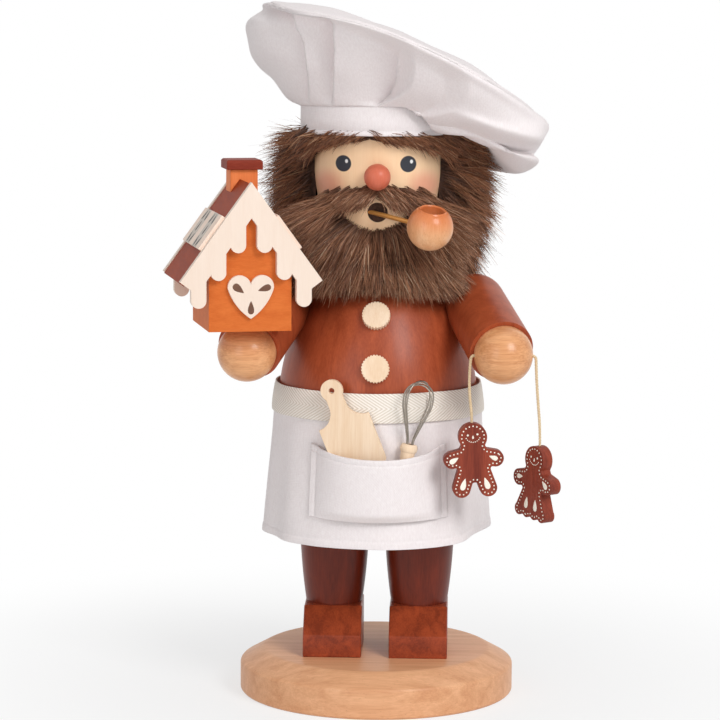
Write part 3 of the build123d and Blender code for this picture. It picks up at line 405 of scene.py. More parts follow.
lamps = {
    "keyLight": {"place": (0.72, -0.98, 0.95), "target": (0, 0, 0.15), "size": (0.5, 0.6), "power": 11.5},
    "fillLight": {"place": (-0.6, -1.1, 0.4), "target": (0, 0, 0.13), "size": (0.5, 0.8), "power": 3.0},
    "topLight": {"place": (0.0, 0.1, 1.2), "target": (0, 0, 0.1), "size": (0.9, 0.7), "power": 1.5},
}
for name, settings in lamps.items():
    softbox(name, **settings)
print("camera and light set")

# Looks of the wooden and metal pieces
beech = woodLook("beech", tint(236, 181, 138), tint(212, 151, 108), (0.05, 1.0, 1.0), 0.45, 0.08, 0.6, 0.2)
flecks = beech.noise(beech.stretched(0.35, 1.0, 1.0), 2.6, 2.0, 0.5).rise(0.66, 0.72)
beech.put("Base Color", beech.mix(flecks * 0.4, beech.colour, tint(160, 106, 68)))
plainWood = woodLook("plainWood", tint(226, 190, 145), tint(200, 158, 112), (1.0, 1.0, 0.06), 0.55, 0.0)
coatWood = woodLook("coatWood", tint(176, 84, 49), tint(147, 64, 35), (1.0, 1.0, 0.05), 0.44, 0.12, 0.6, 0.1)
legWood = woodLook("legWood", tint(124, 46, 25), tint(89, 30, 16), (1.0, 1.0, 0.05), 0.38, 0.1, 0.7, 0.12)
shoeWood = woodLook("shoeWood", tint(161, 69, 37), tint(123, 48, 25), (1.0, 0.06, 1.0), 0.4, 0.1, 0.4, 0.2)
handWood = woodLook("handWood", tint(234, 174, 124), tint(204, 138, 90), (0.05, 0.5, 1.0), 0.32, 0.25, 0.4, 0.12)
noseWood = woodLook("noseWood", tint(218, 118, 90), tint(202, 102, 76), (1.0, 1.0, 0.1), 0.42, 0.1, 0.8, 0.05)
creamWood = woodLook("creamWood", tint(247, 223, 196), tint(235, 204, 170), (1.0, 1.0, 0.06), 0.5, 0.05, 0.6, 0.1)
houseWood = woodLook("houseWood", tint(218, 118, 58), tint(204, 102, 46), (0.06, 1.0, 1.0), 0.5, 0.03, 0.6, 0.1)
roofWood = woodLook("roofWood", tint(164, 66, 28), tint(140, 50, 20), (1.0, 0.08, 1.0), 0.5, 0.03, 0.6, 0.1)
chimneyWood = woodLook("chimneyWood", tint(242, 142, 86), tint(226, 122, 68), (1.0, 1.0, 0.08), 0.5, 0.03, 0.6, 0.08)
capWood = woodLook("capWood", tint(142, 60, 44), tint(120, 46, 34), (0.08, 1.0, 1.0), 0.5, 0.03, 0.6, 0.1)
icingLook = woodLook("icing", tint(240, 222, 207), tint(235, 214, 197), (1.0, 1.0, 0.08), 0.5, 0.05, 0.8, 0.06)
for matt in (houseWood, roofWood, chimneyWood, capWood):
    matt.put("Specular IOR Level", 0.05)
bakedLook = woodLook("gingerbread", tint(148, 64, 43), tint(111, 42, 28), (1.0, 1.0, 0.07), 0.5, 0.03, 0.5, 0.15)
paintWhite = woodLook("paintWhite", tint(250, 246, 234), tint(242, 234, 216), (1.0, 1.0, 1.0), 0.45, 0.1, 0.8, 0.05)
paintBrown = woodLook("paintBrown", tint(120, 84, 66), tint(102, 70, 54), (1.0, 1.0, 1.0), 0.5, 0.05, 0.8, 0.05)
paintDark = woodLook("paintDark", tint(58, 46, 42), tint(42, 34, 32), (1.0, 1.0, 1.0), 0.5, 0.05, 0.8, 0.05)


def metalLook(name, dull, bright, rough, brushed):
    look = Look(name)
    lines = look.noise(look.stretched(*brushed), 3.0, 3.0, 0.6)
    look.put("Base Color", look.mix(lines, dull, bright))
    look.put("Metallic", 1.0)
    look.put("Roughness", lines * 0.2 + rough)
    look.bump(lines, 0.08, 0.0001)
    return look


tin = metalLook("tin", tint(190, 190, 186), tint(222, 222, 218), 0.3, (1.0, 1.0, 0.3))
brass = metalLook("brass", tint(196, 134, 64), tint(230, 172, 100), 0.4, (0.3, 1.0, 1.0))
brass.put("Metallic", 0.6)
steelWire = metalLook("steelWire", tint(128, 120, 110), tint(168, 160, 150), 0.22, (1.0, 1.0, 0.2))

# Face: pale lacquered wood with painted eyes and rosy cheeks, and painted shade inside the mouth
face = woodLook("face", tint(252, 216, 176), tint(244, 204, 162), (1.0, 1.0, 0.05), 0.45, 0.1, 0.9, 0.08)
paint = {"eyeX": 12.2, "eyeZ": 206.3, "eye": 3.0, "cheekX": 18.5, "cheekZ": 198.0, "aside": -0.8, "blush": 0.55,
         "mouthZ": 188.0, "mouth": 3.8}
facePaint = face.colour
faceFront = face.y.rise(4.0, -4.0)
for side in (-1, 1):
    cheek = around(face.x, face.z, side * paint["cheekX"] + paint["aside"], paint["cheekZ"], 1.3)
    facePaint = face.mix(cheek.rise(9.0, 1.5) * faceFront * paint["blush"], facePaint, tint(228, 128, 108))
for side in (-1, 1):
    eyeX = side * paint["eyeX"] + paint["aside"]
    iris = around(face.x, face.z, eyeX, paint["eyeZ"], 0.95).rise(paint["eye"] + 0.15, paint["eye"] - 0.15)
    facePaint = face.mix(iris * faceFront, facePaint, tint(52, 54, 62))
    glint = around(face.x, face.z, eyeX + 1.2, paint["eyeZ"] + 0.9, 0.6).rise(0.7, 0.4)
    facePaint = face.mix(glint * faceFront, facePaint, tint(232, 232, 232))
# Painted shade: the inside of the mouth's bore is painted near-black, standing in for the shade in that deep recess
insideMouth = around(face.x, face.z, 0.0, paint["mouthZ"]).rise(paint["mouth"] + 0.15, paint["mouth"] + 0.03)
mouthShade = insideMouth * face.y.rise(-22.0, -19.0)
face.put("Base Color", face.mix(mouthShade, facePaint, tint(16, 12, 10)))
print("looks made")

# Turned pieces of the stand
plate = {"radius": 53.0, "wall": 11.4, "top": 43.7, "height": 16.6, "chamfer": 0.8}
plateLine = softProfile([
    (0, 0, 0), (plate["radius"] - plate["chamfer"], 0, 0.3), (plate["radius"], plate["chamfer"], 0.5),
    (plate["radius"], plate["wall"], 1.1), (plate["top"], plate["height"], 1.2), (0, plate["height"], 0),
])
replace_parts(lathe("Foot", plateLine, beech, "stand", sides=144), "base_plate")

leg = {"aside": 16.5, "ankle": 10.9, "thigh": 13.5, "foot": 34.8, "curve": 69.8, "top": 76.0, "peg": 5.0, "end": 82.0}
legCurve = arcRun(leg["thigh"], 0, leg["ankle"], leg["curve"] - leg["foot"])
legArc = [(r, leg["curve"] - z, 0) for r, z, _ in reversed(legCurve)]
legLine = softProfile([
    (0, leg["foot"], 0), *legArc, (leg["thigh"], leg["top"], 0.5), (leg["peg"], leg["top"], 0),
    (leg["peg"], leg["end"] - 0.5, 0.4), (0, leg["end"], 0),
])
for side, name in ((-1, "right"), (1, "left")):
    shin = lathe("Leg_" + name, legLine, legWood, "stand", foot=(side * leg["aside"], 0, 0))
    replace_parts(shin, name + "_leg")
eased(shoeWood, "stand", 0.5, 3, "right_shoe", "left_shoe")
dress(plainWood, "shoe_dowels", "hip_disc", "shoulder_dowels", "wrist_dowels", "house_dowel")
dress(tin, "cone_dish", "dish_nail")
print("stand dressed")

# Turned body with its smoke chamber
torso = {"radius": 38.6, "bottom": 84.0, "dome": 110.0, "top": 169.0, "topRadius": 15.2, "chamber": 31.0, "bend": 122.0,
         "bore": 5.0, "boreFoot": 157.0, "socket": 9.05, "socketFoot": 159.9}
chamberLine = arcRun(torso["chamber"], torso["bend"], torso["bore"], torso["boreFoot"])
torsoLine = softProfile([
    (torso["chamber"], torso["bottom"], 0), (torso["radius"], torso["bottom"], 0.5),
    *arcRun(torso["radius"], torso["dome"], torso["topRadius"], torso["top"], 40),
    (torso["socket"], torso["top"], 0.3), (torso["socket"], torso["socketFoot"], 0),
    (torso["bore"], torso["socketFoot"], 0), *reversed(chamberLine), (torso["chamber"], torso["bottom"], 0),
])
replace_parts(lathe("Body", torsoLine, coatWood, "figure", sides=128), "torso")
dress(face, "head")
dress(coatWood, "right_arm", "left_arm")
dress(handWood, "right_hand", "left_hand")
dress(noseWood, "nose")
eased(creamWood, "figure", 0.3, 3, "upper_button", "lower_button")

# Pipe: a bored ball, orange towards its lip, on a slim stem
bowl = {"middle": Vector((20.0, -39.53, 184.0)), "radius": 8.65, "lip": 7.1, "bore": 4.4, "depth": 10.0,
        "forward": 16.0, "aside": 8.0, "stouter": 0.25}
bowlUp = Vector((0, 0, 1))
bowlUp.rotate(Matrix.Rotation(math.radians(bowl["forward"]), 3, "X"))
bowlUp.rotate(Matrix.Rotation(math.radians(bowl["aside"]), 3, "Y"))
bowlLook = woodLook("bowlWood", tint(240, 188, 142), tint(222, 160, 112), (1.0, 1.0, 0.08), 0.32, 0.2, 0.45, 0.08)
specks = bowlLook.noise(bowlLook.stretched(1.0, 1.0, 0.3), 2.2, 2.0, 0.5).rise(0.6, 0.68) * 0.35
stain = bowlLook.along(bowl["middle"], bowlUp).rise(-2.5, 7.6) * 0.8
bowlWood = bowlLook.mix(specks, bowlLook.colour, tint(176, 116, 74))
bowlLook.put("Base Color", bowlLook.mix(stain, bowlWood, tint(212, 108, 48)))
ball = [(bowl["radius"] * math.sin(t), -bowl["radius"] * math.cos(t)) for t in steps(0, math.pi, 40)]
bowlLip, bowlBore = bowl["lip"], bowl["bore"]
lipRadius = math.sqrt(bowl["radius"] ** 2 - bowlLip**2)
boreFoot = bowlLip - bowl["depth"]
bowlLine = [(r, z) for r, z in ball if z < bowlLip - 0.5]
bowlLine += [(lipRadius + 0.35, bowlLip - 0.45), (lipRadius, bowlLip), (bowlBore + 0.3, bowlLip)]
bowlLine += [(bowlBore, bowlLip - 0.4), (bowlBore, boreFoot + 1.0), (bowlBore - 1.0, boreFoot), (0, boreFoot)]
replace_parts(lathe("Bowl", bowlLine, bowlLook, "figure", foot=bowl["middle"], along=bowlUp, sides=64), "pipe_bowl")
stem = solidShape("pipe_stem")
stemMiddle = sum((vertex.co for vertex in stem.verts), Vector()) / len(stem.verts)
stemWay = (bowl["middle"] - stemMiddle).normalized()
for vertex in stem.verts:
    apart = vertex.co - stemMiddle
    vertex.co += (apart - stemWay * apart.dot(stemWay)) * bowl["stouter"]
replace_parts(meshPiece("Stem", stem, brass, "figure"), "pipe_stem")
print("body dressed")

# House, with painted drops on its heart and striped slabs on its roof
house = {"middle": Vector((-49.7, -43.0, 147.2)), "turn": 14.0, "half": 19.0, "heart": 1.6, "ridge": 54.25,
         "roof": 53.9}
heartDrops = [(-4.6, 15.9, -38, 4.9, 2.9), (5.0, 15.9, 198, 5.0, 2.6), (0.0, 8.9, 90, 4.9, 2.5)]
slab = {"middle": 23.0, "proud": 1.6, "aside": 8.0, "stripe": 4.6, "apart": 4.9, "slant": 20, "long": 4.6, "wide": 1.7}
eased(houseWood, "figure", 0.3, 2, "house_body")
eased(roofWood, "figure", 0.3, 2, "roof_board_left", "roof_board_right")
eased(chimneyWood, "figure", 0.3, 2, "chimney")
eased(capWood, "figure", 0.3, 2, "chimney_cap")
icing = ("front_icing_left", "front_icing_right", "rear_icing_left", "rear_icing_right")
eased(icingLook, "figure", 0.5, 3, *icing, "heart_plate")
houseTurn = Matrix.Rotation(math.radians(house["turn"]), 4, "Z")
upright = Matrix(((1, 0, 0), (0, 0, -1), (0, 1, 0))).to_4x4()
atHouse = Matrix.Translation(house["middle"]) @ houseTurn
heartFace = atHouse @ Matrix.Translation((0, -house["half"] - house["heart"], 0)) @ upright
heartPaint = bmesh.new()
for heartDrop in heartDrops:
    drop(heartPaint, heartFace, *heartDrop)
meshPiece("Heart_paint", heartPaint, paintBrown, "figure")

for side, name in ((-1, "roof_slab_left"), (1, "roof_slab_right")):
    pale, deep = tint(252, 230, 214), tint(246, 218, 198)
    slabLook = woodLook(name + "_look", pale, deep, (1.0, 1.0, 0.08), 0.5, 0.05, 0.8, 0.06)
    lean = math.radians(side * house["roof"])
    onRoof = atHouse @ Matrix.Translation((0, 0, house["ridge"]))
    slabFace = onRoof @ Matrix.Rotation(lean, 4, "Y") @ Matrix.Translation((side * slab["middle"], 0, slab["proud"]))
    alongSlab = slabFace.to_3x3() @ Vector((0, 1, 0))
    depth = slabLook.along(slabFace.translation, alongSlab).sum("ABSOLUTE")
    grey = (depth - slab["aside"]).sum("ABSOLUTE").rise(slab["stripe"] + 0.15, slab["stripe"] - 0.15)
    slabLook.put("Base Color", slabLook.mix(grey, slabLook.colour, tint(206, 194, 182)))
    eased(slabLook, "figure", 0.3, 2, name)
    strokes = bmesh.new()
    for row in (-slab["aside"], slab["aside"]):
        for column in (-1, 0, 1):  # a slanting pair on each side of a single stroke
            for end in (-1.0, 1.0) if column else (0.0,):
                x, y = side * column * slab["apart"], row + end * 2.5
                drop(strokes, slabFace, x, y, -end * column * slab["slant"] * side, slab["long"], slab["wide"])
    meshPiece(name + "_strokes", strokes, paintDark, "figure")

# Pocket tools
eased(creamWood, "board", 0.4, 3, "cutting_board")
dress(creamWood, "whisk_handle")
dress(steelWire, "whisk_wires")


# Dots of sugar all along the edge of a cookie's front
def dottedEdge(shape, node, plane, inset, gap, radius):
    solid = solidShape(node)
    outward = plane.to_3x3() @ Vector((0, 0, 1))
    flats = [flat for flat in solid.faces if flat.normal.dot(outward) > 0.99]
    front = max(flats, key=lambda flat: flat.calc_area())
    outline = [plane.inverted() @ vertex.co for vertex in front.verts]
    edge = []
    for before, here, after in zip(outline[-1:] + outline[:-1], outline, outline[1:] + outline[:1]):
        way = (after - before).normalized()
        edge.append(here + Vector((-way.y, way.x, 0)) * inset)
    solid.free()
    ahead = 0.0
    for here, after in zip(edge, edge[1:] + edge[:1]):
        span = (after - here).length
        while ahead < span:
            spot = here.lerp(after, ahead / span)
            dot(shape, plane, spot.x, spot.y, radius)
            ahead += gap
        ahead -= span


# Plane of a cookie's front: at the top of its head, turned about the string and rolled
def cookieFace(node, turn, roll):
    stance = upright @ Matrix.Rotation(math.radians(turn), 4, "Y") @ Matrix.Rotation(math.radians(roll), 4, "Z")
    spots = [stance.inverted() @ (vertex.co * 1000) for vertex in nodes[node].data.vertices]
    across = [spot.x for spot in spots]
    top = Vector(((min(across) + max(across)) / 2, max(spot.y for spot in spots), max(spot.z for spot in spots)))
    return stance @ Matrix.Translation(top)


cookies = {
    "gingerbread_man": {"turn": 6.0, "roll": 3.0, "drops": [
        (-7.4, -13.6, -150, 3.8, 2.1), (7.3, -13.3, -25, 3.4, 1.9),
        (-4.2, -22.8, -108, 4.6, 2.2), (4.4, -22.8, -72, 4.6, 2.2),
    ]},
    "gingerbread_woman": {"turn": -52.0, "roll": -6.0, "drops": [
        (-7.5, -13.2, -170, 3.4, 1.9), (7.0, -13.2, -40, 3.8, 2.2),
        (-2.6, -22.2, -95, 4.4, 2.2), (2.6, -22.2, -85, 4.4, 2.2),
    ]},
}
sugarSize = {"inset": 1.1, "gap": 1.42, "dot": 0.29, "eye": 0.42, "smile": 2.9, "smileDot": 0.22, "smileZ": -4.2}
for name in cookies:
    eased(bakedLook, name, 0.7, 3, name)
for name, cookie in cookies.items():
    sugar = bmesh.new()
    plane = cookieFace(name, cookie["turn"], cookie["roll"])
    dottedEdge(sugar, name, plane, sugarSize["inset"], sugarSize["gap"], sugarSize["dot"])
    for x, y, turn, length, width in cookie["drops"]:
        drop(sugar, plane, x, y, turn + 180, length, width)
    dot(sugar, plane, -1.9, -4.4, sugarSize["eye"])
    dot(sugar, plane, 1.7, -4.2, sugarSize["eye"])
    drop(sugar, plane, 0.0, -5.2, 90, 1.3, 0.8)
    for turn in steps(-62, 62, 8):
        t = math.radians(turn)
        smileX, smileZ = sugarSize["smile"] * math.sin(t), sugarSize["smileZ"] - sugarSize["smile"] * math.cos(t)
        dot(sugar, plane, smileX, smileZ, sugarSize["smileDot"])
    meshPiece("Sugar_" + name, sugar, paintWhite, name)
print("carried things dressed")

# Strings: three twisted strands each, from inside the hand to a cookie's head
stringLook = Look("string")
fibre = stringLook.noise(stringLook.spot, 2.2, 4.0, 0.7)
stringLook.put("Base Color", stringLook.ramp(fibre, (0.3, tint(200, 172, 132)), (0.7, tint(238, 216, 180))))
stringLook.put("Roughness", 0.9)
stringLook.bump(fibre, 0.4, 0.0002)
strings = {
    "man": [(41.0, 137.2), (38.0, 137.2), (35.7, 137.0), (35.4, 134.0), (35.1, 128.5), (35.3, 121.5), (36.2, 115.0),
            (36.2, 109.2)],
    "woman": [(54.5, 137.2), (57.4, 137.2), (59.7, 137.0), (59.8, 134.0), (60.1, 127.0), (60.8, 118.5), (61.6, 109.5),
              (61.6, 100.7)],
}


# Mesh of round strands along smooth curves through lists of points
def strandMesh(name, routes, radius):
    curve = bpy.data.curves.new(name, "CURVE")
    curve.dimensions = "3D"
    curve.bevel_depth = radius
    curve.bevel_resolution = 2
    curve.use_fill_caps = radius > 0
    for route in routes:
        spline = curve.splines.new("NURBS")
        spline.points.add(len(route) - 1)
        for knot, point in zip(spline.points, route):
            knot.co = (*point, 1.0)
        spline.order_u = 3
        spline.use_endpoint_u = True
        spline.resolution_u = 16 if radius == 0 else 2
    holder = bpy.data.objects.new(name, curve)
    mesh = bpy.data.meshes.new_from_object(holder)
    bpy.data.objects.remove(holder)
    bpy.data.curves.remove(curve)
    return mesh


stringSize = {"lay": 3.2, "apart": 0.28, "strand": 0.3, "thick": 0.00116, "y": -45.0, "bendZ": 135.5}
backward = Vector((0, 1, 0))
for who, route in strings.items():
    guide = strandMesh("route", [[(x, stringSize["y"], z) for x, z in route]], 0.0)
    line = [vertex.co.copy() for vertex in guide.vertices]
    length = sum((b - a).length for a, b in zip(line, line[1:]))
    paths = []
    for strand in range(3):
        path, walked = [], 0.0
        for number, point in enumerate(line):
            step = line[min(number + 1, len(line) - 1)] - line[max(number - 1, 0)]
            walked += (point - line[max(number - 1, 0)]).length
            turn = (walked / stringSize["lay"] + strand / 3) * 2 * math.pi
            across = step.cross(backward).normalized()
            path.append(point + (across * math.cos(turn) + backward * math.sin(turn)) * stringSize["apart"])
        paths.append(path)
    shape = bmesh.new()
    shape.from_mesh(strandMesh("strands", paths, stringSize["strand"]))
    cord = meshPiece("String_" + who, shape, stringLook)
    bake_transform(cord)
    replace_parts(cord, who + "_string")
    length * mm
    if who == "man":
        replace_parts(cord, "hand_string")
print("strings hung")


# Woven cloth: fine over-and-under threads, slight slubs, a soft sheen
def clothLook(name, pale, deep, pitch=0.5, weave=0.2):
    look = Look(name)
    slub = look.noise(look.stretched(1.0, 1.0, 0.35), 1.6, 4.0, 0.6)
    across = ((look.x + look.y) * (math.pi / pitch)).sum("SINE")
    up = ((look.z + look.y * 0.3) * (math.pi / pitch)).sum("SINE")
    threads = across * up
    look.put("Base Color", look.ramp(slub + threads * 0.05, (0.25, deep), (0.7, pale)))
    look.put("Roughness", 0.85)
    look.put("Sheen Weight", 0.2)
    look.put("Sheen Roughness", 0.5)
    look.bump(threads * 0.5 + slub, weave, 0.0001)
    return look


whiteCloth = clothLook("whiteCloth", tint(242, 235, 235), tint(233, 224, 224))

# Hat: a slack crown gathered into its band, with a round top sewn on at the rim
hatRings = {
    "foot": {"middle": Vector((0.0, 0.0, 228.0)), "tilts": (0.0, 0.0), "long": 30.45, "short": 30.45},
    "mid": {"middle": Vector((0.5, 0.0, 229.0)), "tilts": (25.0, 18.0), "long": 58.0, "short": 44.0},
    "rim": {"middle": Vector((9.5, 0.0, 243.5)), "tilts": (24.0, 11.0), "long": 57.0, "short": 57.0},
}
hat = {"dome": 7.0, "slump": 5.0, "roll": 2.2, "slack": 2.0, "puff": 3.0, "ripple": 1.2, "cloth": 0.7}
# Place round the hat, depth, sideways drift and width of the steep side of each fold
hatFolds = [(-64, 7.0, 23, 3), (-37, 10.0, 11, 5), (-3, 13.0, 8, 3), (16, 5.0, 6, 7), (118, 4.0, 0, 3),
            (150, 5.0, 0, 3), (184, 5.0, 0, 3), (216, 5.0, 0, 3), (250, 4.0, 0, 3)]


def hatRing(turn, ring):
    side, back = [math.tan(math.radians(tilt)) for tilt in ring["tilts"]]
    up = Vector((side, back, 1)).normalized()
    along = Vector((1, 0, -side)).normalized()
    behind = up.cross(along)
    t = math.radians(turn)
    return ring["middle"] + along * ring["long"] * math.sin(t) - behind * ring["short"] * math.cos(t), up


# Depth of a fold whose near side slopes away and whose far side rises steeply to a crisp ridge
def foldDepth(turn, place, slack, riser):
    off = (turn - place + 180) % 360 - 180
    return math.exp(off / slack) if off < 0 else max(0.0, 1 - off / riser)


# Round top of the hat, from the rim (w = 0) to its middle (w = 1)
def hatTopSpot(rim, up, slump, w):
    middle = hatRings["rim"]["middle"]
    edge = rim.lerp(middle, w)
    lift = hat["dome"] * (1 - (1 - w) ** 3.2) - 0.8 * bell(w, 0, 0.02) + 3.5 * slump * bell(w, 0.18, 0.13)
    slack = noise.noise(edge * 0.035) * hat["slack"] * ease(w, 0.02, 0.2)
    outward = (rim - middle).normalized()
    return edge + up * (lift + slack) + outward * (hat["roll"] * bell(w, 0.04, 0.05) - 1.6 * (1 - w))


# Side of the hat, from the band (s = 0) to the rim (s = 1), and then its top
def hatSpot(turn, s):
    low = hatRing(turn, hatRings["foot"])[0]
    mid = hatRing(turn, hatRings["mid"])[0]
    rim, up = hatRing(turn, hatRings["rim"])
    slump = near(turn, -54, 28)  # the rim sinks at the front left
    rim -= up * hat["slump"] * slump
    if s > 1:
        return hatTopSpot(rim, up, slump, s - 1)
    spot = low * (2 * s - 1) * (s - 1) + mid * 4 * s * (1 - s) + rim * s * (2 * s - 1)
    outward = (spot - Vector((low.x * 0.2, low.y * 0.2, spot.z))).normalized()
    bow = math.sin(math.pi * s**0.65)
    crease = 0.0
    for place, depth, drift, riser in hatFolds:
        crease += depth * foldDepth(turn - drift * bow, place, 8.0 + 7.0 * s, 1.0 + riser * s)
    crease *= (0.35 + 0.65 * ease(s, 0.05, 0.4)) * ease(s, 0.0, 0.08) * (1 - ease(s, 0.78, 0.99))
    puff = hat["puff"] * math.sin(math.pi * s) - crease
    left = near(turn, -90, 45)  # drawn in on the left
    puff -= left * (1.0 * bell(s, 0.2, 0.16) + 3.6 * bell(s, 0.5, 0.17) + 6.5 * bell(s, 0.78, 0.16))
    droop = ease(turn, 18, 36) * (1 - ease(turn, 100, 125))  # two rolls hang over on the right
    valley = 0.16 + 0.62 * ease(turn, 24, 86)
    frontal = 1 - ease(turn, 55, 95)
    rolls = 4.5 * bell(s, valley - 0.2, 0.13) + 4.5 * bell(s, valley + 0.2, 0.14)
    puff += droop * (rolls * frontal - (2.0 + 5.5 * frontal) * bell(s, valley, 0.065))
    puff += 1.2 * bell(s, 0.95, 0.04) - 1.0 * bell(s, 1.0, 0.012)  # seam at the rim
    ripple = noise.noise(Vector((spot.x * 0.05, spot.y * 0.05, spot.z * 0.09)) + Vector((3, 1, 7)))
    spot.z -= 6.0 * near(turn, 80, 38) * bell(s, 0.3, 0.2) + 3.0 * left * bell(s, 0.07, 0.07)
    spot.z -= 5.0 * near(turn, 34, 13) * bell(s, 0.16, 0.1)
    return spot + outward * (puff + hat["ripple"] * ripple * ease(s, 0.0, 0.3))


topRows = (0.012, 0.025, 0.045, 0.07, 0.1, 0.14, 0.19, 0.25, 0.33, 0.42, 0.52, 0.63, 0.75, 0.88, 0.97, 1.0)
hatRows = steps(0, 1, 50) + [1 + w for w in topRows]
crown = clothPiece("Hat_crown", steps(0, 360, 480), hatRows, hatSpot, whiteCloth, hat["cloth"], True)
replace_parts(crown, "hat_crown")

# Band: its radius, and how far it stands out at each height, with a line of stitches
bandRadius = 30.25
bandDents = {217.0: -0.15, 217.2: 0.0, 218.6: 0.05, 218.85: -0.2, 219.1: 0.05, 223.0: 0.12, 226.4: 0.05, 228.2: -0.1,
             229.0: -0.9}


def bandSpot(turn, z):
    sway = noise.noise(ringSpot(turn, 2.2, z * 0.06))
    return ringSpot(turn, bandRadius + bandDents[z] + 0.35 * sway, z)


band = clothPiece("Hat_band", steps(0, 360, 160), list(bandDents), bandSpot, whiteCloth, hat["cloth"], True)
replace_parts(band, "hat_band")
print("hat sewn")

# Apron: an open-backed skirt, smooth in front and rippling towards the back
apron = {"top": 118.5, "hem": 63.0, "topRadius": 39.6, "hemRadius": 43.2, "half": 160.0, "stitch": 0.951,
         "riseLeft": 3.6, "riseRight": 0.6, "fold": 1.3, "cloth": 0.6}


def coneRadius(z):
    share = (apron["top"] - z) / (apron["top"] - apron["hem"])
    return apron["topRadius"] + (apron["hemRadius"] - apron["topRadius"]) * share


def apronSpot(turn, share):
    hem = apron["hem"] + apron["riseLeft"] * ease(turn, 30, 85) + apron["riseRight"] * ease(-turn, 40, 85)
    z = apron["top"] + (hem - apron["top"]) * share
    radius = coneRadius(z)
    sides = ease(abs(turn), 38, 75)
    fold = math.cos(math.radians(turn * 9.0 + 25 * math.sin(math.radians(turn * 2.0))))
    radius += sides * share**1.3 * (apron["fold"] * fold + 0.2)
    radius += apron["fold"] * share * (near(turn, 47, 9) + 0.6 * near(turn, -52, 8))
    sample = ringSpot(turn, 1.6, z * 0.025)
    radius += 0.5 * noise.noise(sample * 1.3) * ease(share, 0.1, 0.4) + 0.15 * noise.noise(sample * 4.0)
    stitch = apron["stitch"]  # the hem is folded and sewn
    radius += 0.28 * ease(share, stitch - 0.002, stitch + 0.005) - 0.25 * bell(share, stitch, 0.003)
    return ringSpot(turn, radius, z)


apronShares = [1.0, 0.995, 0.985, 0.965, 0.954, 0.948] + steps(0.94, 0, 47)
apronTurns = steps(-apron["half"], apron["half"], 260)
skirt = clothPiece("Apron", apronTurns, apronShares, apronSpot, whiteCloth, apron["cloth"])
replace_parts(skirt, "apron_skirt")

# Pocket: a patch whose mouth sags round the tools, with flat stitched sides
pocket = {"middle": 2.0, "half": 37.2, "bottom": 74.3, "top": 102.0, "strip": 0.9, "sag": 3.4, "room": 3.8,
          "mouth": 3.4}


def pocketSpot(across, up):
    inner = min(1.0, abs(across) / pocket["strip"])
    sag = pocket["sag"] * (1 - across**2)
    z = pocket["bottom"] - 0.8 * (1 - across**2) + (pocket["top"] - sag - pocket["bottom"]) * up
    bow = (1 - inner**2.2) * (pocket["room"] + pocket["mouth"] * up) * ease(up, -0.1, 0.14)
    seam = 0.3 * bell(abs(across), pocket["strip"], 0.012)
    seam += 0.22 * bell(up, 0.908, 0.006) + 0.2 * bell(up, 0.037, 0.008)
    dent = 0.5 * noise.noise(Vector((across * 2.0, up * 1.5, 4.0))) * (1 - inner)
    radius = coneRadius(z) + 1.1 + bow - seam + dent
    return ringSpot(pocket["middle"] + across * pocket["half"], radius, z)


pocketUps = [0.0, 0.012, 0.03, 0.045] + steps(0.06, 0.9, 30) + [0.905, 0.912, 0.93, 0.97, 1.0]
patch = clothPiece("Pocket", steps(-1, 1, 120), pocketUps, pocketSpot, whiteCloth, apron["cloth"])
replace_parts(patch, "apron_pocket")

# Waistband: cream tape with a chevron weave
tapeSize = {"foot": 110.5, "width": 11, "middle": 5.5, "low": 41.0, "high": 39.6, "lines": 1.1}
tapeLook = Look("tape")
reach = tapeLook.x.sum("ARCTAN2", tapeLook.y * -1.0) * tapeSize["low"]
chevron = (reach * 0.6 + (tapeLook.z - tapeSize["foot"] - tapeSize["middle"]).sum("ABSOLUTE")) / tapeSize["lines"]
stripes = (chevron.sum("FRACT") - 0.5).sum("ABSOLUTE").rise(0.08, 0.36)
fuzz = tapeLook.noise(tapeLook.spot, 1.2, 3.0, 0.6)
shade = tapeLook.mix(stripes, tint(218, 207, 192), tint(250, 243, 235))
tapeLook.put("Base Color", tapeLook.mix(fuzz * 0.2, shade, tint(232, 224, 212)))
tapeLook.put("Roughness", 0.9)
tapeLook.put("Sheen Weight", 0.15)
tapeLook.bump(stripes + fuzz * 0.5, 0.3, 0.0002)


def tapeSpot(turn, rise):
    z = tapeSize["foot"] + rise + 0.3 * noise.noise(ringSpot(turn, 2, 3.0))
    middle = tapeSize["middle"]
    radius = tapeSize["low"] + (tapeSize["high"] - tapeSize["low"]) * rise / tapeSize["width"]
    radius += 0.3 - 0.3 * (abs(rise - middle) / middle) ** 4
    return ringSpot(turn, radius + 0.2 * noise.noise(ringSpot(turn, 3, rise * 0.12)), z)


tapeRows = [0.0, 0.15, 0.5, 1.5, 3.5, 5.5, 7.5, 9.5, 10.5, 10.85, 11.0]
tape = clothPiece("Waistband", steps(0, 360, 200), tapeRows, tapeSpot, tapeLook, apron["cloth"], True)
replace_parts(tape, "waistband")
print("apron tied")


# Fur: fine strands in clumps whose tips draw together, over a dark pelt
def furLook(name, root, *stops):
    look = Look(name)
    tone, run, _ = look.split(look.node("ShaderNodeUVMap", {}, {}))
    # Painted shade: each strand blends from the dark root colour at its root to its own tone over the first part of its
    # length, standing in for the shade deep in the fur
    look.put("Base Color", look.mix(run.rise(-0.15, 0.6), root, look.ramp(tone, *stops)))
    look.put("Roughness", 0.55)
    look.put("Specular IOR Level", 0.35)
    return look
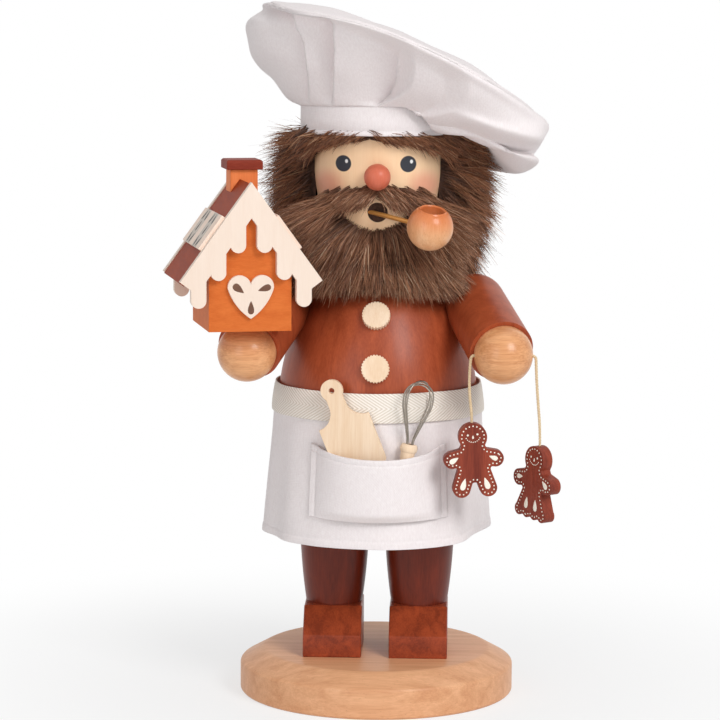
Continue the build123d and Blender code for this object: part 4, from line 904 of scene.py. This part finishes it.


# The first colour given to each fur is the painted shade at its strands' roots
hairLook = furLook(
    "hairFur", tint(62, 38, 26), (0.0, tint(74, 45, 30)), (0.35, tint(122, 76, 50)), (0.7, tint(160, 106, 72)),
    (0.95, tint(198, 158, 124)),
)
beardLook = furLook(
    "beardFur", tint(82, 53, 38), (0.0, tint(84, 54, 38)), (0.4, tint(136, 91, 65)), (0.75, tint(172, 125, 94)),
    (0.95, tint(206, 174, 146)),
)
peltLook = Look("pelt")
dusk = peltLook.noise(peltLook.spot, 0.7, 3.0, 0.6)
peltLook.put("Base Color", peltLook.ramp(dusk, (0.3, tint(46, 29, 21)), (0.7, tint(84, 54, 38))))
peltLook.put("Roughness", 0.9)
peltLook.bump(dusk, 0.5, 0.0006)


# Strands of clumps given by root, outward way, growing way, pull, length, spread and tone
def furPiece(name, look, clumps, count):
    spots, faces, marks = [], [], []
    for root, out, way, pull, length, spread, tone in clumps:
        across = way.cross(out).normalized()
        over = across.cross(way)
        for strand in range(count):
            aside = across * dice.gauss(0, spread) + over * dice.gauss(0, spread * 0.6)
            stray = Vector((dice.gauss(0, 0.1), dice.gauss(0, 0.1), dice.gauss(0, 0.1)))
            reach = length * dice.uniform(0.7, 1.1)
            facing = across * math.cos(dice.uniform(-1, 1)) + over * math.sin(dice.uniform(-1, 1))
            width = dice.uniform(0.18, 0.42)
            shade = min(0.99, max(0.01, tone + dice.gauss(0, 0.2)))
            start = len(spots)
            for t in steps(0, 1, 4):
                middle = root + aside * (1 - 0.65 * t) + (way + stray * t) * reach * t + pull * reach * t * t
                half = 0.5 * width * (1 - t) ** 0.6 * (0.35 + 0.65 * ease(t, 0, 0.3)) + 0.03
                spots += [middle - facing * half, middle + facing * half]
                marks += [(shade, t), (shade, t)]
            faces += [(a, a + 1, a + 3, a + 2) for a in range(start, start + 8, 2)]
    mesh = bpy.data.meshes.new(name)
    mesh.from_pydata([spot * mm for spot in spots], [], faces)
    mesh.shade_smooth()
    layer = mesh.uv_layers.new(name="UVMap")
    layer.data.foreach_set("uv", [value for loop in mesh.loops for value in marks[loop.vertex_index]])
    return placed(name, mesh, look, "figure")


head = {"radius": 24.9, "jaw": 204.0, "chin": 169.0, "chinRadius": 10.0}


def headRadius(z):
    shrink, rise = head["radius"] - head["chinRadius"], head["jaw"] - head["chin"]
    bend = (shrink**2 + rise**2) / (2 * shrink)
    return head["radius"] - bend + math.sqrt(bend**2 - min(max(head["jaw"] - z, 0.0), rise) ** 2)


def jitter(size):
    return Vector((dice.gauss(0, size), dice.gauss(0, size), dice.gauss(0, size)))


# Side and back hair: out from under the hat, hanging more the lower it grows
hair = {"first": 69.0, "last": 279.0, "top": 217.0, "bottom": 164.0, "swell": 8.5, "clumps": 1250, "strands": 14}


def hairSpot(turn, share):
    ends = 1 - abs((2 * turn - hair["first"] - hair["last"]) / (hair["last"] - hair["first"])) ** 10
    swell = hair["swell"] * math.sin(math.pi * share) ** 0.55
    z = hair["top"] + (hair["bottom"] - hair["top"]) * share
    return ringSpot(turn, head["radius"] - 0.4 + (0.4 + swell) * ends, z)


def hairClumps():
    clumps = []
    for _ in range(hair["clumps"]):
        turn = dice.uniform(hair["first"] + 1, hair["last"] - 1)
        share = dice.random() ** 1.15 * 0.97
        out = ringSpot(turn, 1.0, 0)
        back = Vector((-out.y, out.x, 0)) * (1 if turn < 180 else -1)
        sweep = back * 0.75 * (1 - ease(min(turn, 360 - turn), hair["first"], 125))
        fall = math.radians(6 + 58 * share + dice.gauss(0, 11))
        way = ((out + sweep).normalized() * math.cos(fall) - Vector((0, 0, math.sin(fall))) + jitter(0.12)).normalized()
        length = dice.uniform(11, 16) * (1.22 - 0.34 * share)
        pull = Vector((0, 0, -0.18 - 0.14 * share)) + jitter(0.06)
        clumps.append((hairSpot(turn, share), out, way, pull, length, dice.uniform(0.5, 1.1), dice.gauss(0.45, 0.14)))
    return clumps


hairPelt = clothPiece("Hair_pelt", steps(hair["last"], hair["first"], 120), steps(0, 1, 40), hairSpot, peltLook, 0)
furPieces = [("hair", hairPelt)]
furPieces += [("hair", furPiece("Hair_" + part, hairLook, hairClumps(), hair["strands"])) for part in ("a", "b")]

# Fringe: parted in the middle and swept sideways along the band
fringe = {"parting": -7.0, "half": 72.0, "top": 219.5, "clumps": 620, "strands": 12}
fringeClumps = []
for _ in range(fringe["clumps"]):
    turn = dice.uniform(-fringe["half"], fringe["half"])
    off = (turn - fringe["parting"]) / fringe["half"]
    out = ringSpot(turn, 1.0, 0)
    flow = Vector((-out.y, out.x, 0)) * math.copysign(1, off)
    deep = dice.random()
    z = fringe["top"] - 3.2 * deep - (8.5 if off < 0 else 7.0) * off * off * deep
    root = ringSpot(turn, head["radius"] + 0.3 + (5.6 - 4.0 * deep) * dice.random(), z)
    fall = Vector((0, 0, 0.22 + 0.2 * abs(off)))
    way = (flow * 0.85 + out * (0.12 + 0.3 * abs(off)) - fall + jitter(0.1)).normalized()
    pull = out * -0.1 - Vector((0, 0, 0.15)) + jitter(0.05)
    length = (5.5 + 6.5 * abs(off)) * dice.uniform(0.8, 1.15)
    fringeClumps.append((root, out, way, pull, length, dice.uniform(0.4, 0.8), dice.gauss(0.42, 0.14)))
furPieces.append(("hair", furPiece("Fringe", hairLook, fringeClumps, fringe["strands"])))

# Pelt under the hat's band
hairCap = {"foot": 215.6, "height": 8, "swell": 4.2}


def capSpot(turn, share):
    radius = head["radius"] - 0.3 + hairCap["swell"] * math.sin(math.pi * share)
    return ringSpot(turn, radius, hairCap["foot"] + hairCap["height"] * share)


furPieces.append(("hair", clothPiece("Hair_cap", steps(0, 360, 96), steps(0, 1, 10), capSpot, peltLook, 0, True)))

# Beard: spreads from the bare patch round the mouth, down over the chest and out to the sides
beard = {"half": 74.0, "top": 193.0, "bottom": 158.0, "mouth": 188.0, "patchX": 14.0, "patchZ": 6.6, "patchAside": -1.2,
         "edge": 156.5, "clumps": 1150, "strands": 14}


def patchShare(turn, z):
    across = 26.0 * math.sin(math.radians(turn)) - beard["patchAside"]
    return math.hypot(across / beard["patchX"], (z - beard["mouth"]) / beard["patchZ"])


def beardSpot(turn, share):
    z = beard["bottom"] + (beard["top"] - beard["bottom"]) * share
    inner = headRadius(z) - 0.4 if z > head["chin"] else 21.0
    full = 26.0 + 5.0 * math.sin(math.pi * share)
    ends = (1 - abs(turn / beard["half"]) ** 8) * ease(share, 0, 0.1) * (1 - ease(share, 0.9, 1.0))
    return ringSpot(turn, inner + (full - inner) * ends * ease(patchShare(turn, z), 0.98, 3.4), z)


def beardClumps():
    clumps = []
    while len(clumps) < beard["clumps"]:
        turn = dice.uniform(-beard["half"], beard["half"])
        share = dice.uniform(0.1, 0.98)
        z = beard["bottom"] + (beard["top"] - beard["bottom"]) * share
        if patchShare(turn, z) < 1.0:
            continue
        root = beardSpot(turn, share)
        out = ringSpot(turn, 1.0, 0)
        spread = Vector((root.x * 1.05, 0, min(z - 199.0, -6.0))).normalized()
        lip = 1 - ease(patchShare(turn, z), 1.0, 2.4)
        lift = dice.uniform(0.25, 0.55) + 0.4 * lip
        way = (spread * 0.9 + out * lift + jitter(0.1)).normalized()
        edge = beard["edge"] + 2.6 * bell(turn, -3, 24)
        length = min(dice.uniform(11, 16) + 7 * lip, (z - edge) / max(0.35, -way.z + 0.25) * dice.uniform(0.85, 1.1))
        pull = Vector((0, 0, -0.25)) - out * dice.uniform(0.0, 0.15) * (1 - lip) + jitter(0.05)
        clumps.append((root, out, way, pull, max(length, 4.0), dice.uniform(0.5, 1.1), dice.gauss(0.45, 0.16)))
    return clumps


beardPelt = clothPiece("Beard_pelt", steps(-beard["half"], beard["half"], 120), steps(0, 1, 60), beardSpot, peltLook, 0)
furPieces.append(("beard", beardPelt))
furPieces += [("beard", furPiece("Beard_" + part, beardLook, beardClumps(), beard["strands"])) for part in ("a", "b")]

# Moustache: swept sideways from under the nose
moustache = {"half": 52, "top": 196.4, "drop": 3.6, "clumps": 900, "strands": 12}
lipClumps = []
for _ in range(moustache["clumps"]):
    side = dice.choice((-1, 1))
    off = dice.random() ** 1.2
    turn = side * (moustache["half"] * off - 1)
    out = ringSpot(turn, 1.0, 0)
    flow = Vector((-out.y, out.x, 0)) * side
    root = ringSpot(turn, head["radius"] - 0.4, moustache["top"] - moustache["drop"] * off + dice.gauss(0, 1.0))
    way = (flow * 0.8 - Vector((0, 0, 0.42 - 0.1 * off)) + out * dice.uniform(0.4, 0.9) + jitter(0.08)).normalized()
    pull = Vector((0, 0, -0.25)) - out * 0.35 + jitter(0.05)
    lipClumps.append((root, out, way, pull, dice.uniform(6, 10.5), dice.uniform(0.25, 0.5), dice.gauss(0.42, 0.14)))
furPieces.append(("moustache", furPiece("Moustache", beardLook, lipClumps, moustache["strands"])))
for node, piece in furPieces:
    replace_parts(piece, node)
print("fur combed")
